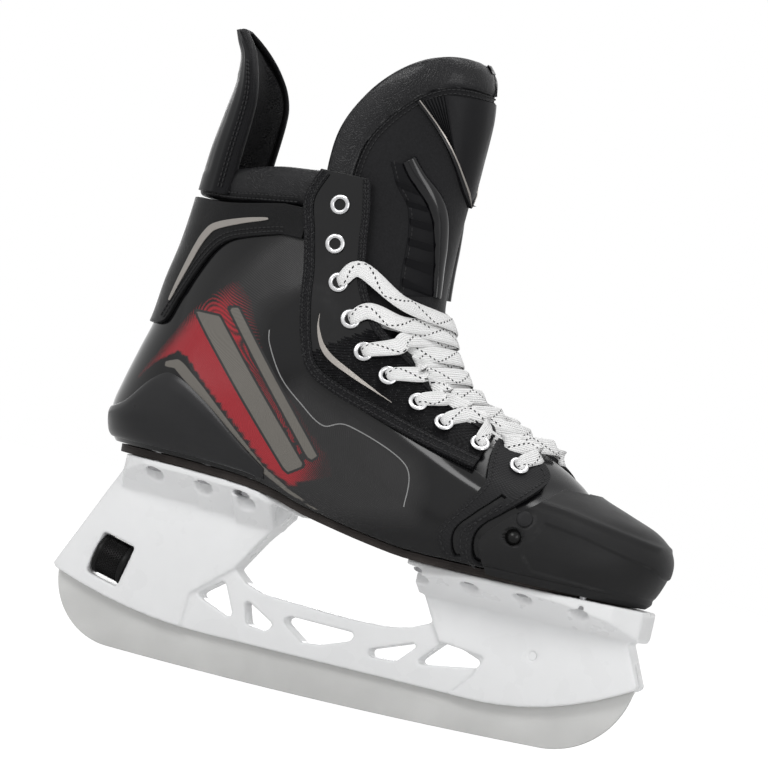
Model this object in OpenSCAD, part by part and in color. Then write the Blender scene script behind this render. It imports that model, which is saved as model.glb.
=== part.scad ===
// Ice hockey skate for the right foot: a laced boot on a plastic blade holder
// that carries a removable steel runner, freed by a thumb wheel in its rear tower.
// +X is the toe, +Z is up, and the origin is under the middle of the blade.

/* [Runner] */
// Thickness of the steel
runner_t = 3; // [2.6:0.1:3.6]
// Radius of the long curve along the bottom of the steel
rocker_r = 3000; // [2500:100:4000]
// Height of the steel that is hidden in the holder's slot
runner_grip = 5; // [4:0.2:5.6]

/* [Holder] */
// Width of the two towers
tower_w = 17; // [15:0.5:22]
// Width of the truss and the lower rail between the towers
rail_w = 13; // [11:0.5:15]
// Width of the mounting flange under the heel
heel_flange_w = 56; // [50:1:60]
// Width of the mounting flange under the ball of the foot
ball_flange_w = 72; // [60:1:80]
// Thickness of the flanges at their edge
flange_t = 3.2; // [2.5:0.1:4]
// Side clearance of the steel in the slot
slot_gap = 0.3; // [0.2:0.05:0.5]

/* [Blade lock] */
// Diameter of the thumb wheel
wheel_d = 20; // [18:0.5:21]
// Length of the thumb wheel along its axis
wheel_len = 16.6; // [14:0.2:17]
// Diameter of the lock bolt's shank
bolt_d = 6; // [5:0.2:6.4]
// Downward tilt of the lock's axis towards the toe, in degrees
lock_tilt = 13; // [8:0.5:15]
// Diameter of the cross pin that the front hook hangs on
pin_d = 4; // [3.5:0.1:5]
// Radial running clearance of pins and bolts
run_gap = 0.05; // [0.02:0.01:0.1]

/* [Boot] */
// Wall of the composite quarter
shell_t = 3; // [2:0.2:3.6]
// Padding inside the quarter
liner_t = 3.8; // [3:0.2:5]
// Thickness of the outsole board
outsole_t = 3.8; // [3:0.2:4.5]
// Thickness of the lace facings
facing_t = 2.2; // [1.8:0.1:2.6]
// Thickness of the tongue's felt
tongue_t = 8; // [6:0.5:10]
// Thickness of the toe cap's wall
cap_t = 2.2; // [1.8:0.1:3]
// How far the toe curves towards the other foot
toe_in = 5; // [0:1:8]

/* [Eyelets and laces] */
// Hole through an eyelet
eyelet_id = 5.2; // [4.6:0.1:5.6]
// Flange of an eyelet
eyelet_od = 9.4; // [8.6:0.2:10]
// Width of the flat lace
lace_w = 8; // [6:0.5:9]
// Thickness of the flat lace
lace_t = 1.3; // [1:0.1:1.6]

/* [Rivets] */
// Diameter of a rivet's shank
rivet_d = 4; // [3.4:0.2:4.6]
// Diameter of a rivet's head and washer
rivet_head_d = 8; // [7:0.2:9]

/* [Hidden] */
layer_gap = 0.5;   // between two pieces that lie on each other

// ---- curves: tables of [where, value], joined by a smooth cubic ----
function seg(t, x, i = 0) = x < t[i + 1][0] ? i : seg(t, x, i + 1);
function slope(t, i) =
    let(a = max(i - 1, 0), b = min(i + 1, len(t) - 1))
    (t[b][1] - t[a][1]) / (t[b][0] - t[a][0]);
function spl(t, x) =
    x <= t[0][0] ? t[0][1] :
    x >= t[len(t) - 1][0] ? t[len(t) - 1][1] :
    let(i = seg(t, x), a = t[i], b = t[i + 1], h = b[0] - a[0], u = (x - a[0]) / h)
    a[1] * (2 * u * u * u - 3 * u * u + 1) + b[1] * (3 * u * u - 2 * u * u * u)
    + h * slope(t, i) * (u * u * u - 2 * u * u + u) + h * slope(t, i + 1) * (u * u * u - u * u);

// Underside of the outsole along the foot
sole_line = [[-130, 96], [-92, 95.6], [-60, 94], [-44, 91.2], [-30, 87.2], [-8, 83], [10, 80.2],
    [28, 78.2], [60, 78], [143, 79]];
// Back and front of the boot's skin at each height
back_line = [[94, -132], [98, -136.5], [105, -141.5], [117, -143.8], [130, -141.5],
    [148, -137], [163, -133], [183, -130.6], [203, -127], [228, -124.6], [250, -124]];
front_line = [[77, 130], [83, 138], [92, 142.6], [101, 144.4], [108, 142], [114, 134.5],
    [119, 121], [125, 104.5], [131, 96], [136, 87.5], [141, 77], [146, 64.5], [150, 53], [156, 41],
    [162, 32], [172, 22.5], [186, 15], [200, 11], [230, 10.5], [270, 12], [300, 12], [314, 8],
    [322, 1]];
// Where the skin starts to turn in towards the front, and how far it takes to turn at the back
shoulder_line = [[80, 82], [100, 84], [108, 76], [116, 60], [124, 36], [132, 12], [142, -14],
    [152, -30], [172, -50], [200, -65], [260, -62], [322, -45]];
heel_round = [[92, 34], [120, 36], [160, 42], [200, 48], [250, 46]];
// Half width of the skin at the heel, waist, ball and toe, at each height
heel_w = [[90, 31.5], [104, 34], [120, 35], [150, 32.5], [180, 31], [210, 30], [250, 29]];
waist_w = [[80, 35], [100, 37.5], [120, 40], [150, 42], [185, 41.5], [215, 38.5], [250, 37],
    [300, 33], [322, 28]];
ball_w = [[78, 47], [95, 48.5], [110, 48], [130, 45], [150, 42]];
toe_w = [[78, 44], [95, 45.5], [110, 44], [130, 40]];
edge_turn = 7;     // how far the skin turns under at the sole
edge_turn_h = 16;  // height over which it does

function sole_z(x) = spl(sole_line, x);
function centre_y(x) = toe_in * pow(max(0, x + 20) / 165, 2);
function full_half(x, z) =
    spl([[-112, spl(heel_w, z)], [-45, spl(waist_w, z)], [60, spl(ball_w, z)], [104, spl(toe_w, z)]], x)
    - edge_turn * pow(max(0, 1 - (z - sole_z(x)) / edge_turn_h), 2);
function half(x, z) =
    let(d = x - spl(back_line, z), r = spl(heel_round, z), xf = spl(front_line, z),
        xs = spl(shoulder_line, z))
    full_half(x, z)
    * (d <= 0 ? 0 : d >= r ? 1 : sqrt(1 - pow(1 - d / r, 2)))
    * (x <= xs ? 1 : x >= xf ? 0 : sqrt(1 - pow((x - xs) / (xf - xs), 2)));
// A point on the skin, and the way out of it
function skin(x, z, side) = [x, side * half(x, z) + centre_y(x), z];
function unit(v) = v / norm(v);
function skin_out(x, z, side) =
    unit([-(half(x + 0.5, z) - half(x - 0.5, z)), side, -(half(x, z + 0.5) - half(x, z - 0.5))]);

// ---- a sheet of points given a thickness ----
function grid_out(g, i, j, way) =
    let(a = g[max(i - 1, 0)][j], b = g[min(i + 1, len(g) - 1)][j],
        c = g[i][max(j - 1, 0)], d = g[i][min(j + 1, len(g[0]) - 1)])
    unit(cross(b - a, d - c)) * way;
function turn_face(f, way) = way > 0 ? f : [f[2], f[1], f[0]];
// g is a grid of points, its front side at to_out and its back at from_out along the normal
module slab(g, from_out, to_out, way = 1) {
    nu = len(g) - 1;
    nv = len(g[0]) - 1;
    m = (nu + 1) * (nv + 1);
    function at(i, j) = i * (nv + 1) + j;
    pts = [for (o = [to_out, from_out]) for (i = [0:nu]) for (j = [0:nv])
        g[i][j] + o * grid_out(g, i, j, way)];
    faces = concat(
        [for (i = [0:nu - 1]) for (j = [0:nv - 1]) for (f = [
            [at(i, j), at(i, j + 1), at(i + 1, j + 1)],
            [at(i, j), at(i + 1, j + 1), at(i + 1, j)],
            [m + at(i, j), m + at(i + 1, j + 1), m + at(i, j + 1)],
            [m + at(i, j), m + at(i + 1, j), m + at(i + 1, j + 1)]]) f],
        [for (i = [0:nu - 1]) for (f = [
            [at(i, 0), at(i + 1, 0), m + at(i + 1, 0)],
            [at(i, 0), m + at(i + 1, 0), m + at(i, 0)],
            [at(i + 1, nv), at(i, nv), m + at(i, nv)],
            [at(i + 1, nv), m + at(i, nv), m + at(i + 1, nv)]]) f],
        [for (j = [0:nv - 1]) for (f = [
            [at(0, j + 1), at(0, j), m + at(0, j)],
            [at(0, j + 1), m + at(0, j), m + at(0, j + 1)],
            [at(nu, j), at(nu, j + 1), m + at(nu, j + 1)],
            [at(nu, j), m + at(nu, j + 1), m + at(nu, j)]]) f]);
    polyhedron(pts, [for (f = faces) turn_face(f, way)]);
}
// Rows round the heel: low(x) and high(x) bound it, and ends at x_end(z) on each side
function round_share(a, turn) = (1 - cos(turn * a)) / (1 - cos(turn));
function heel_row_x(a, v, low, high, x_end) =
    let(zb = low(-136) + (high(-136) - low(-136)) * v, xb = spl(back_line, zb),
        e1 = x_end(zb), ze = low(e1) + (high(e1) - low(e1)) * v, xe = x_end(ze))
    xb + (xe - xb) * round_share(a, 140);
function heel_grid(nu, nv, low, high, x_end) =
    [for (i = [-nu:nu]) [for (j = [0:nv])
        let(v = j / nv, x = heel_row_x(abs(i) / nu, v, low, high, x_end),
            z = low(x) + (high(x) - low(x)) * v)
        i == 0 ? [x, centre_y(x), z] : skin(x, z, sign(i))]];
// Rows round the front at the heights zs, ends at x_end(z) on each side
function front_grid(nu, zs, x_end) =
    [for (i = [-nu:nu]) [for (z = zs)
        let(xf = spl(front_line, z), x = xf - (xf - x_end(z)) * round_share(abs(i) / nu, 120))
        i == 0 ? [x, centre_y(x), z] : skin(x, z, sign(i))]];
// A band on one side between two edges, each a list of [x, z]
function along(e, v) =
    let(k = min(floor(v * (len(e) - 1)), len(e) - 2), u = v * (len(e) - 1) - k)
    e[k] + (e[k + 1] - e[k]) * u;
function band_grid(nu, nv, back_edge, front_edge, side) =
    [for (i = [0:nu]) [for (j = [0:nv])
        let(a = along(back_edge, j / nv), b = along(front_edge, j / nv), p = a + (b - a) * i / nu)
        skin(p[0], p[1], side)]];
// Turns +Z to the direction n
module point_to(n) {
    rotate([0, acos(n[2]), atan2(n[1], n[0])]) children();
}

// ---- blade holder and runner ----
rail_z = 18.5;       // underside of the holder's straight middle
rail_start = -70;    // where its rear and front ends begin to rise
rail_stop = 68;
function holder_low(x) = rail_z + pow(max(0, rail_start - x), 2) / 480
    + pow(max(0, x - rail_stop), 2) / 262;
holder_back = -152;
holder_front = 145;
rocker_x = -45;      // where the steel is lowest
heel_r = 34;         // rounding of the steel's ends
toe_r = 42;
steel_back = -154;
steel_front = 144;
pin_pos = [93, 46];  // cross pin of the front hook, in X and Z
hook_r = 6.5;
lock_pos = [-126.5, 43.3]; // middle of the thumb wheel, in X and Z
bar_at = 25;         // crossbar of the lock bolt, ahead of the wheel's middle
bar_r = 2;
lug_lean = 5;
lug_l = 5;
bolt_travel = 6;
drop_angle = 6.5;
slot_w = runner_t + 2 * slot_gap;
lock_dir = [cos(lock_tilt), -sin(lock_tilt)];
bar_pos = lock_pos + bar_at * lock_dir;

module along_y(w) {
    rotate([90, 0, 0]) translate([0, 0, -w / 2]) linear_extrude(w) children();
}
function rocker(x) = rocker_r - sqrt(rocker_r * rocker_r - pow(x - rocker_x, 2));
function spaced(x0, x1, n) = [for (i = [0:n]) x0 + (x1 - x0) * i / n];
function arc(c, r, a0, a1, n) = [for (a = spaced(a0, a1, n)) c + r * [cos(a), sin(a)]];
module steel_outline() {
    heel_c = [steel_back + heel_r, heel_r + rocker(steel_back + heel_r)];
    toe_c = [steel_front - toe_r, toe_r + rocker(steel_front - toe_r)];
    lug_x = bar_pos[0] - bar_r - 0.3;
    lug_top = bar_pos[1] + 3;
    lug_foot = lug_x - (lug_top - 25) * tan(lug_lean);
    function top(xs) = [for (x = xs) [x, holder_low(x) + runner_grip]];
    polygon(concat(arc(heel_c, heel_r, 188, 268, 16),
        [for (x = spaced(heel_c[0] + 3, toe_c[0] - 3, 24)) [x, rocker(x)]],
        arc(toe_c, toe_r, 272, 350, 18), [[steel_front, holder_low(steel_front) - 0.6]],
        top(spaced(steel_front - 3, pin_pos[0] + hook_r, 6)), arc(pin_pos, hook_r, 0, 180, 16),
        top(spaced(pin_pos[0] - hook_r, lug_foot, 20)),
        [[lug_x, lug_top], [lug_x - lug_l, lug_top]],
        top(spaced(lug_x - lug_l, steel_back + 3, 6)), [[steel_back, holder_low(steel_back) - 1]]));
}
module runner() {
    color("silver") difference() {
        along_y(runner_t) steel_outline();
        // the hook's mouth, open to the rear and a little upwards
        translate([pin_pos[0], 0, pin_pos[1]]) rotate([90, 0, 0])
            cylinder(r = pin_d / 2 + run_gap, h = 3 * runner_t, center = true, $fn = 48);
        translate([pin_pos[0], 0, pin_pos[1]]) rotate([0, 20, 0])
            translate([-hook_r - 2, -runner_t, -pin_d / 2 - run_gap])
            cube([hook_r + 2, 2 * runner_t, pin_d + 2 * run_gap]);
    }
}
low_xs = spaced(holder_back, holder_front, 22);
function flange_low(x) = sole_z(x) - flange_t;
module tower_outline_rear() {
    polygon(concat([for (x = [holder_back, -140, -126, -112, -98, -84]) [x, holder_low(x)]],
        [[-83, 36], [-69, 48], [-63, 53], [-53, 69], [-42, 83], [-42, flange_low(-42)],
         [-60, flange_low(-60)], [-92, flange_low(-92)], [-128, flange_low(-128)], [-155, 35.4],
         [-154, 33.4]]));
}
module tower_outline_front() {
    polygon(concat([for (x = [56, 68, 80, 92, 104, 116, 128, 138, 145]) [x, holder_low(x)]],
        [[146.4, 43], [133, 72], [134, flange_low(134)], [28, flange_low(28)], [29.5, 70], [41, 50],
         [46, 42], [70, 40], [66, 30]]));
}
module rounded(r) {
    offset(r = r, $fn = 32) offset(delta = -r) children();
}
module truss_outline() {
    difference() {
        polygon(concat([for (x = [-84, -70, -40, 0, 40, 68, 80, 90]) [x, holder_low(x)]],
            [[90, 50], [41, 50.5], [30, 45.4], [19, 43.2], [0, 42.6], [-20, 43.2], [-46, 44.4],
             [-56, 47.5], [-64, 54], [-84, 60]]));
        rounded(1.5) polygon([[-80, 36.5], [-67, 46.5], [-59.5, 31], [-61, 29.5]]);
        rounded(1.5) polygon([[-55.5, 40.5], [-38, 31], [-40.5, 27], [-51.5, 28]]);
        rounded(1.5) polygon([[-34, 34], [-30.5, 36.8], [4, 36.2], [2, 32], [-12, 27], [-22, 26]]);
        rounded(1.2) polygon([[11, 30], [38, 40], [27, 28], [13, 27]]);
        rounded(1.5) polygon([[49.5, 44], [69, 37], [67, 34], [38, 29], [36.5, 30]]);
    }
}
// Flared flange between x0 and x1, cut to the plan; its underside slopes down to the tower from s0 to s1
module flange(x0, x1, s0, s1, w, drop, plan) {
    intersection() {
        union() {
            // level lip that the rivets clamp
            along_y(w) polygon(concat([for (x = spaced(x0, x1, 12)) [x, sole_z(x) - 0.25]],
                [for (x = spaced(x1, x0, 12)) [x, flange_low(x)]]));
            // sloping underside
            for (k = [0:3]) let(xa = s0 + (s1 - s0) * k / 4, xb = s0 + (s1 - s0) * (k + 1) / 4,
                    z = min(flange_low(xa), flange_low(xb)))
                translate([xa, 0, z]) rotate([90, 0, 90]) linear_extrude(xb - xa)
                    polygon([[-w / 2 + 1, 0.2], [w / 2 - 1, 0.2], [tower_w / 2 + 1, -drop],
                             [-tower_w / 2 - 1, -drop]]);
        }
        linear_extrude(120) polygon(plan);
    }
}
heel_rivets = [-109, -83, -60];
heel_rivet_y = 22;
ball_rivets = [34, 60, 87, 115];
ball_rivet_y = [23, 27, 28, 25];
module at_heel_rivets() {
    for (x = heel_rivets) for (s = [-1, 1]) translate([x, s * heel_rivet_y, sole_z(x)]) children();
}
module at_ball_rivets() {
    for (i = [0:3]) for (s = [-1, 1])
        translate([ball_rivets[i], s * ball_rivet_y[i], sole_z(ball_rivets[i])]) children();
}
module at_rivets() {
    at_heel_rivets() children();
    at_ball_rivets() children();
}
recess_h = 24;
module rivet_hole() {
    cylinder(r = rivet_d / 2 + run_gap, h = 24, center = true, $fn = 32);
}
window_l = wheel_len + 1.2;
module lock_axis() {
    translate([lock_pos[0], 0, lock_pos[1]]) rotate([0, 90 + lock_tilt, 0]) children();
}
yoke_w = runner_t + 2 * 3.2;   // across the two cheeks that straddle the steel
module holder() {
    hf = heel_flange_w / 2;
    bf = ball_flange_w / 2;
    color("white") difference() {
        union() {
            along_y(tower_w) tower_outline_rear();
            along_y(tower_w) tower_outline_front();
            along_y(rail_w) truss_outline();
            flange(-128, -32, -128, -47, heel_flange_w, 13, [[-128, -hf + 14], [-124, -hf + 6], [-114, -hf],
                [-52, -hf], [-38, -hf + 6], [-32, -hf + 14], [-32, hf - 14], [-38, hf - 6],
                [-52, hf], [-114, hf], [-124, hf - 6], [-128, hf - 14]]);
            flange(25, 143, 31, 143, ball_flange_w, 12, [[25, -bf + 17], [32, -bf + 9], [60, -bf + 1], [78, -bf],
                [108, -bf + 3], [130, -bf + 12], [143, -bf + 24], [143, bf - 24], [130, bf - 12],
                [108, bf - 3], [78, bf], [60, bf - 1], [32, bf - 9], [25, bf - 17]]);
        }
        // slot for the steel, with room for the front of it to rise as the rear drops
        along_y(slot_w) polygon(concat([for (x = low_xs) [x, holder_low(x) + runner_grip + 0.5
                + max(0, x - pin_pos[0] + 8) * tan(drop_angle + 1)]],
            [[holder_front + 5, 40], [holder_front + 5, 0], [holder_back - 5, 0], [holder_back - 5, 40]]));
        // pockets for the hook and the lug
        along_y(slot_w) translate(pin_pos) circle(hook_r + 0.8, $fn = 48);
        along_y(slot_w) translate([pin_pos[0] - hook_r - 1.5, 15])
            square([2 * hook_r + 5.5, pin_pos[1] - 15]);
        along_y(slot_w) translate([bar_pos[0] - lug_l - 5, 15])
            square([lug_l + 13, bar_pos[1] + 4.5 - 15]);
        // cross pin
        translate([pin_pos[0], 0, pin_pos[1]]) rotate([90, 0, 0])
            cylinder(r = pin_d / 2 + 0.02, h = tower_w + 2, center = true, $fn = 48);
        // window of the thumb wheel, bolt bore and the pocket of the yoke
        lock_axis() cube([wheel_d + 1.4, tower_w + 2, window_l], center = true);
        lock_axis() translate([0, 0, -window_l / 2 - 6])
            cylinder(r = bolt_d / 2 + run_gap, h = 40, $fn = 48);
        lock_axis() translate([0, 0, bar_at - 1.4]) cube([9, yoke_w + 1, 21.8], center = true);
        // hole of each rivet and the recess of its head
        at_rivets() translate([0, 0, -recess_h])
            cylinder(r = rivet_head_d / 2 + 0.6, h = recess_h - flange_t, $fn = 48);
        at_rivets() rivet_hole();
    }
}
module front_pin() {
    color("dimgray") translate([pin_pos[0], 0, pin_pos[1]]) rotate([90, 0, 0])
        cylinder(r = pin_d / 2, h = tower_w - 1, center = true, $fn = 48);
}
module lock_wheel() {
    r = wheel_d / 2;
    h = wheel_len / 2;
    color("black") lock_axis() rotate_extrude($fn = 96)
        polygon([[bolt_d / 2 + run_gap, -h], [r - 0.6, -h], [r, -h + 0.6], [r, -h + 2],
            [r - 0.6, -h + 2.6], [r - 0.6, h - 2.6], [r, h - 2], [r, h - 0.6], [r - 0.6, h],
            [bolt_d / 2 + run_gap, h]]);
}
module lock_bolt() {
    cheek = 2.6;
    color("gray") lock_axis() {
        translate([0, 0, -window_l / 2 - 3])
            cylinder(r = bolt_d / 2, h = window_l / 2 + 3 + bar_at - 10, $fn = 48);
        translate([0, 0, bar_at - 10]) cube([bolt_d, yoke_w, 3], center = true);
        for (s = [-1, 1]) translate([0, s * (yoke_w - cheek) / 2, bar_at - 3])
            cube([bolt_d, cheek, 11], center = true);
        translate([0, 0, bar_at]) rotate([90, 0, 0])
            cylinder(r = bar_r, h = yoke_w - 0.4, center = true, $fn = 32);
    }
}
module lock_washers() {
    color("silver") lock_axis() for (s = [-1, 1]) translate([0, 0, s * (wheel_len / 2 + 0.3)])
        difference() {
            cylinder(r = 6, h = 0.4, center = true, $fn = 48);
            cylinder(r = bolt_d / 2 + run_gap, h = 2, center = true, $fn = 48);
        }
}
washer_t = 1.2;
module rivet() {
    r = rivet_d / 2;
    hr = rivet_head_d / 2;
    top = outsole_t + washer_t + 1;
    rotate_extrude($fn = 40) polygon([[0, -flange_t - 2], [hr - 1.6, -flange_t - 1.8],
        [hr - 0.4, -flange_t - 1.1], [hr, -flange_t - 0.1], [r, -flange_t - 0.1], [r, top - 0.4],
        [r - 0.4, top], [0, top]]);
}
module rivets_rear() {
    color("darkgray") at_heel_rivets() rivet();
}
module rivets_front() {
    color("darkgray") at_ball_rivets() rivet();
}
module rivet_washer() {
    translate([0, 0, outsole_t + 0.5]) difference() {
        cylinder(r = rivet_head_d / 2, h = washer_t, $fn = 40);
        rivet_hole();
    }
}
module rivet_washers() {
    color("silver") at_rivets() rivet_washer();
}

// ---- soles ----
// A board along the foot from z = sole + z0 to sole + z1, its edge inset from the skin at height hz
module board(z0, z1, in0, in1, hz, n) {
    function xs(i, h, inset) =
        let(b = spl(back_line, sole_z(-130) + h) + inset, f = spl(front_line, sole_z(130) + h) - inset)
        b + (f - b) * (1 - cos(180 * i / n)) / 2;
    function ring(i) =
        [for (q = [[z0, in0], [z1, in1]]) for (s = [-1, 1])
            let(x = xs(i, hz, q[1]), w = max(0.6, half(x, sole_z(x) + hz) - q[1]))
            [x, s * w + centre_y(x), sole_z(x) + q[0]]];
    pts = [for (i = [0:n]) each ring(i)];
    quads = concat([for (i = [0:n - 1]) for (q = [[0, 1], [1, 3], [3, 2], [2, 0]])
        [4 * i + q[0], 4 * i + q[1], 4 * i + 4 + q[1], 4 * i + 4 + q[0]]],
        [[0, 2, 3, 1], [4 * n, 4 * n + 1, 4 * n + 3, 4 * n + 2]]);
    polyhedron(pts, [for (q = quads) for (f = [[q[0], q[1], q[2]], [q[0], q[2], q[3]]]) f]);
}
module outsole() {
    color("dimgray") difference() {
        board(0, outsole_t, 1.6, 0.9, 1.2, 30);
        at_rivets() rivet_hole();
    }
}
insole_h = outsole_t + washer_t + 1.6;
insole_t = 3.5;
insole_in = shell_t + liner_t + 6.2;
module insole() {
    color("darkred") board(insole_h, insole_h + insole_t, insole_in, insole_in, 10, 20);
}

// ---- boot ----
// Front end of the quarter at each height, behind the eyelets
quarter_end = [[84, 94], [98, 92], [108, 86], [118, 72], [126, 57], [134, 38], [140, 22], [148, 5],
    [158, -13], [170, -27], [183, -37], [199, -45], [217, -50], [228, -53]];
quarter_top = 226;
collar_top = [[-124, 236], [-100, 244], [-78, 249], [-58, 251]];
module quarter_shell() {
    color([0.13, 0.13, 0.14]) slab(heel_grid(15, 16, function(x) sole_z(x) + outsole_t + layer_gap,
        function(x) quarter_top, function(z) spl(quarter_end, z)), -shell_t, 0, -1);
}
module liner() {
    color([0.3, 0.3, 0.32]) slab(heel_grid(12, 11, function(x) sole_z(x) + outsole_t + 2,
        function(x) quarter_top, function(z) spl(quarter_end, z) - 3),
        -shell_t - layer_gap - liner_t - 0.2, -shell_t - layer_gap - 0.2, -1);
}
counter_top = [[-143, 116], [-130, 121], [-118, 134], [-108, 139], [-88, 130], [-66, 115], [-48, 103]];
module heel_counter() {
    color([0.22, 0.22, 0.23]) slab(heel_grid(11, 4, function(x) sole_z(x) + outsole_t + 3,
        function(x) spl(counter_top, x), function(z) -50), layer_gap + 0.1, layer_gap + 1.1, -1);
}
brace_low = [[-132, 161], [-120, 163], [-116, 173], [-110, 187], [-103, 200], [-96, 207], [-86, 211],
    [-68, 216]];
brace_high = [[-124, 226], [-100, 226], [-70, 231]];
module ankle_brace() {
    color([0.18, 0.18, 0.19]) slab(heel_grid(11, 5, function(x) spl(brace_low, x),
        function(x) spl(brace_high, x), function(z) -70), layer_gap, layer_gap + 1.6, -1);
}
// Padded roll along the top edge of the quarter
module collar() {
    color([0.1, 0.1, 0.11]) slab(heel_grid(11, 4, function(x) quarter_top + 0.6 + max(0, (x + 100) * 0.1),
        function(x) spl(collar_top, x), function(z) -60), -shell_t - layer_gap - liner_t,
        -shell_t - layer_gap - 0.2, -1);
    color([0.1, 0.1, 0.11]) for (s = [-1, 1]) slab(band_grid(5, 3,
        [[-101, 228], [-101, 235], [-101, 243]], [[-72, 233], [-65, 241], [-59, 250]], s),
        -shell_t - layer_gap - 0.4, 0.8, -s);
}
guard_back = [[228, -126], [250, -124.5], [270, -121.5], [287, -119], [298, -120], [305, -124],
    [311, -127]];
guard_edge = [[228, -104], [250, -102.5], [275, -101], [285, -103], [293, -107], [300, -112],
    [306, -118], [311, -124]];
guard_half = [[228, 28], [275, 28.5], [286, 26.5], [295, 21], [302, 14], [307, 8.5], [311, 3]];
guard_t = 4.6;
module tendon_guard() {
    zs = [229, 238, 248, 258, 268, 277, 285, 292, 298, 303, 307, 310.4];
    g = [for (i = [-8:8]) [for (z = zs) let(a = 84 * i / 8, xb = spl(guard_back, z), xe = spl(guard_edge, z))
        [xb + (xe - xb) * round_share(i / 8, 84), spl(guard_half, z) * sin(a), z]]];
    color([0.12, 0.12, 0.13]) slab(g, -guard_t, 0, -1);
}
eyes = [[-42, 236], [-40, 217], [-34, 199], [-24, 183], [-14, 169], [0, 160], [17, 150.5], [32, 143.5],
    [51, 137.5], [71, 131]];
facing_back = [[-55, 251], [-60, 236], [-56, 219], [-52, 203], [-49, 186], [-44, 168], [-37, 155],
    [-22, 147], [2, 139.5], [28, 132], [53, 126]];
facing_front = [[-31, 251], [-28, 236], [-26, 219], [-22, 201], [-10, 182], [7, 171], [20, 160], [34, 153],
    [44, 149], [52, 146], [55, 142]];
eye_hole = eyelet_id / 2 + 0.5 + run_gap;
module facing(side, rows) {
    difference() {
        slab(band_grid(5, 20, facing_back, facing_front, side), layer_gap, layer_gap + facing_t, side);
        for (k = rows) let(e = eyes[k], n = skin_out(e[0], e[1], side))
            translate(skin(e[0], e[1], side)) point_to(n)
            translate([0, 0, -6]) cylinder(r = eye_hole, h = 14, $fn = 32);
    }
}
module facing_outer() {
    color([0.07, 0.07, 0.08]) facing(-1, [0:8]);
}
module facing_inner() {
    color([0.07, 0.07, 0.08]) facing(1, [0:8]);
}
strap_back = [[57, 143.5], [57, 138], [59, 129], [61, 120], [54, 109], [47, 99], [45, 93], [49, 86],
    [53, 84.5]];
strap_front = [[68, 140.5], [78, 136], [85, 129], [83, 120], [75, 111], [66, 103], [62.5, 96], [64, 87],
    [69, 84.5]];
module toe_strap(side) {
    difference() {
        slab(band_grid(4, 14, strap_back, strap_front, side), layer_gap, layer_gap + 2.2, side);
        translate([0, side * 45, 0]) along_y(40)
            polygon([[52, 99], [72, 118], [74, 116], [60, 103], [56, 97], [58, 89], [54, 89]]);
        let(e = eyes[9], n = skin_out(e[0], e[1], side)) translate(skin(e[0], e[1], side)) point_to(n)
            translate([0, 0, -6]) cylinder(r = eye_hole, h = 14, $fn = 32);
    }
}
module toe_strap_outer() {
    color([0.2, 0.2, 0.21]) toe_strap(-1);
}
module toe_strap_inner() {
    color([0.2, 0.2, 0.21]) toe_strap(1);
}
cap_end = [[80, 72], [88, 68], [94, 66], [100, 69], [111, 80], [117, 88], [125, 93]];
plugs = [[84, 109], [81, 100]];
plug_r = 3.8;
module at_plugs() {
    for (p = plugs) for (s = [-1, 1]) let(n = skin_out(p[0], p[1], s))
        translate(skin(p[0], p[1], s) + (layer_gap + cap_t) * n) point_to(n) children();
}
module toe_cap() {
    zs = [for (j = [0:9]) 81.4 + (125 - 81.4) * j / 9];
    color([0.15, 0.15, 0.16]) difference() {
        slab(front_grid(12, zs, function(z) spl(cap_end, z)), layer_gap, layer_gap + cap_t, 1);
        at_plugs() translate([0, 0, -1.4]) cylinder(r = plug_r + run_gap, h = 4, $fn = 32);
    }
}
module toe_cap_plugs() {
    color("black") at_plugs() translate([0, 0, -1.3]) cylinder(r = plug_r, h = 1.2, $fn = 32);
}

// ---- tongue ----
tongue_edge = [[120, 86], [126, 68], [132, 52], [140, 32], [148, 15], [158, -4], [170, -19], [183, -30],
    [199, -38], [217, -44], [235, -50], [253, -54], [268, -53], [278, -50], [288, -45], [298, -38],
    [309, -26], [316, -16], [320, -8]];
tongue_in = 2.2;      // skin of the tongue under the skin of the boot
tongue_split = 254;   // where it bends over the top row of eyelets
module tongue_part(zs) {
    slab(front_grid(8, zs, function(z) spl(tongue_edge, z)), -tongue_in - tongue_t, -tongue_in, 1);
}
module tongue_body() {
    color([0.1, 0.1, 0.11]) tongue_part([122, 127, 132, 138, 145, 154, 165, 178, 192, 207, 222, 238,
        tongue_split - 0.4]);
}
module tongue_top() {
    color([0.1, 0.1, 0.11]) tongue_part([tongue_split + 0.4, 266, 278, 289, 299, 307, 313, 317]);
}
module tongue_insert() {
    color([0.05, 0.05, 0.06]) slab(front_grid(6, [for (j = [0:4]) 206 + 11 * j],
        function(z) spl(front_line, z) - 27), -tongue_in + 0.3, -tongue_in + 1.5, 1);
}
module tongue_guard() {
    color([0.16, 0.16, 0.17]) slab(front_grid(6, [for (j = [0:4]) 257 + 11.5 * j],
        function(z) spl(front_line, z) - 27), -tongue_in + 0.3, -tongue_in + 1.5, 1);
}

// ---- eyelets and lace ----
eye_lift = layer_gap + facing_t + 0.35;
module eyelet(e, side) {
    n = skin_out(e[0], e[1], side);
    ri = eyelet_id / 2;
    ro = eyelet_od / 2;
    translate(skin(e[0], e[1], side)) point_to(n) translate([0, 0, eye_lift]) rotate_extrude($fn = 40)
        polygon([[ri, -facing_t - 0.9], [ri + 0.5, -facing_t - 0.9], [ri + 0.5, 0], [ro, 0], [ro - 0.4, 0.5],
            [ro - 1.2, 0.9], [ri + 0.7, 0.9], [ri, 0.3]]);
}
module eyelets_outer() {
    color("silver") for (e = eyes) eyelet(e, -1);
}
module eyelets_inner() {
    color("silver") for (e = eyes) eyelet(e, 1);
}
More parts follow.
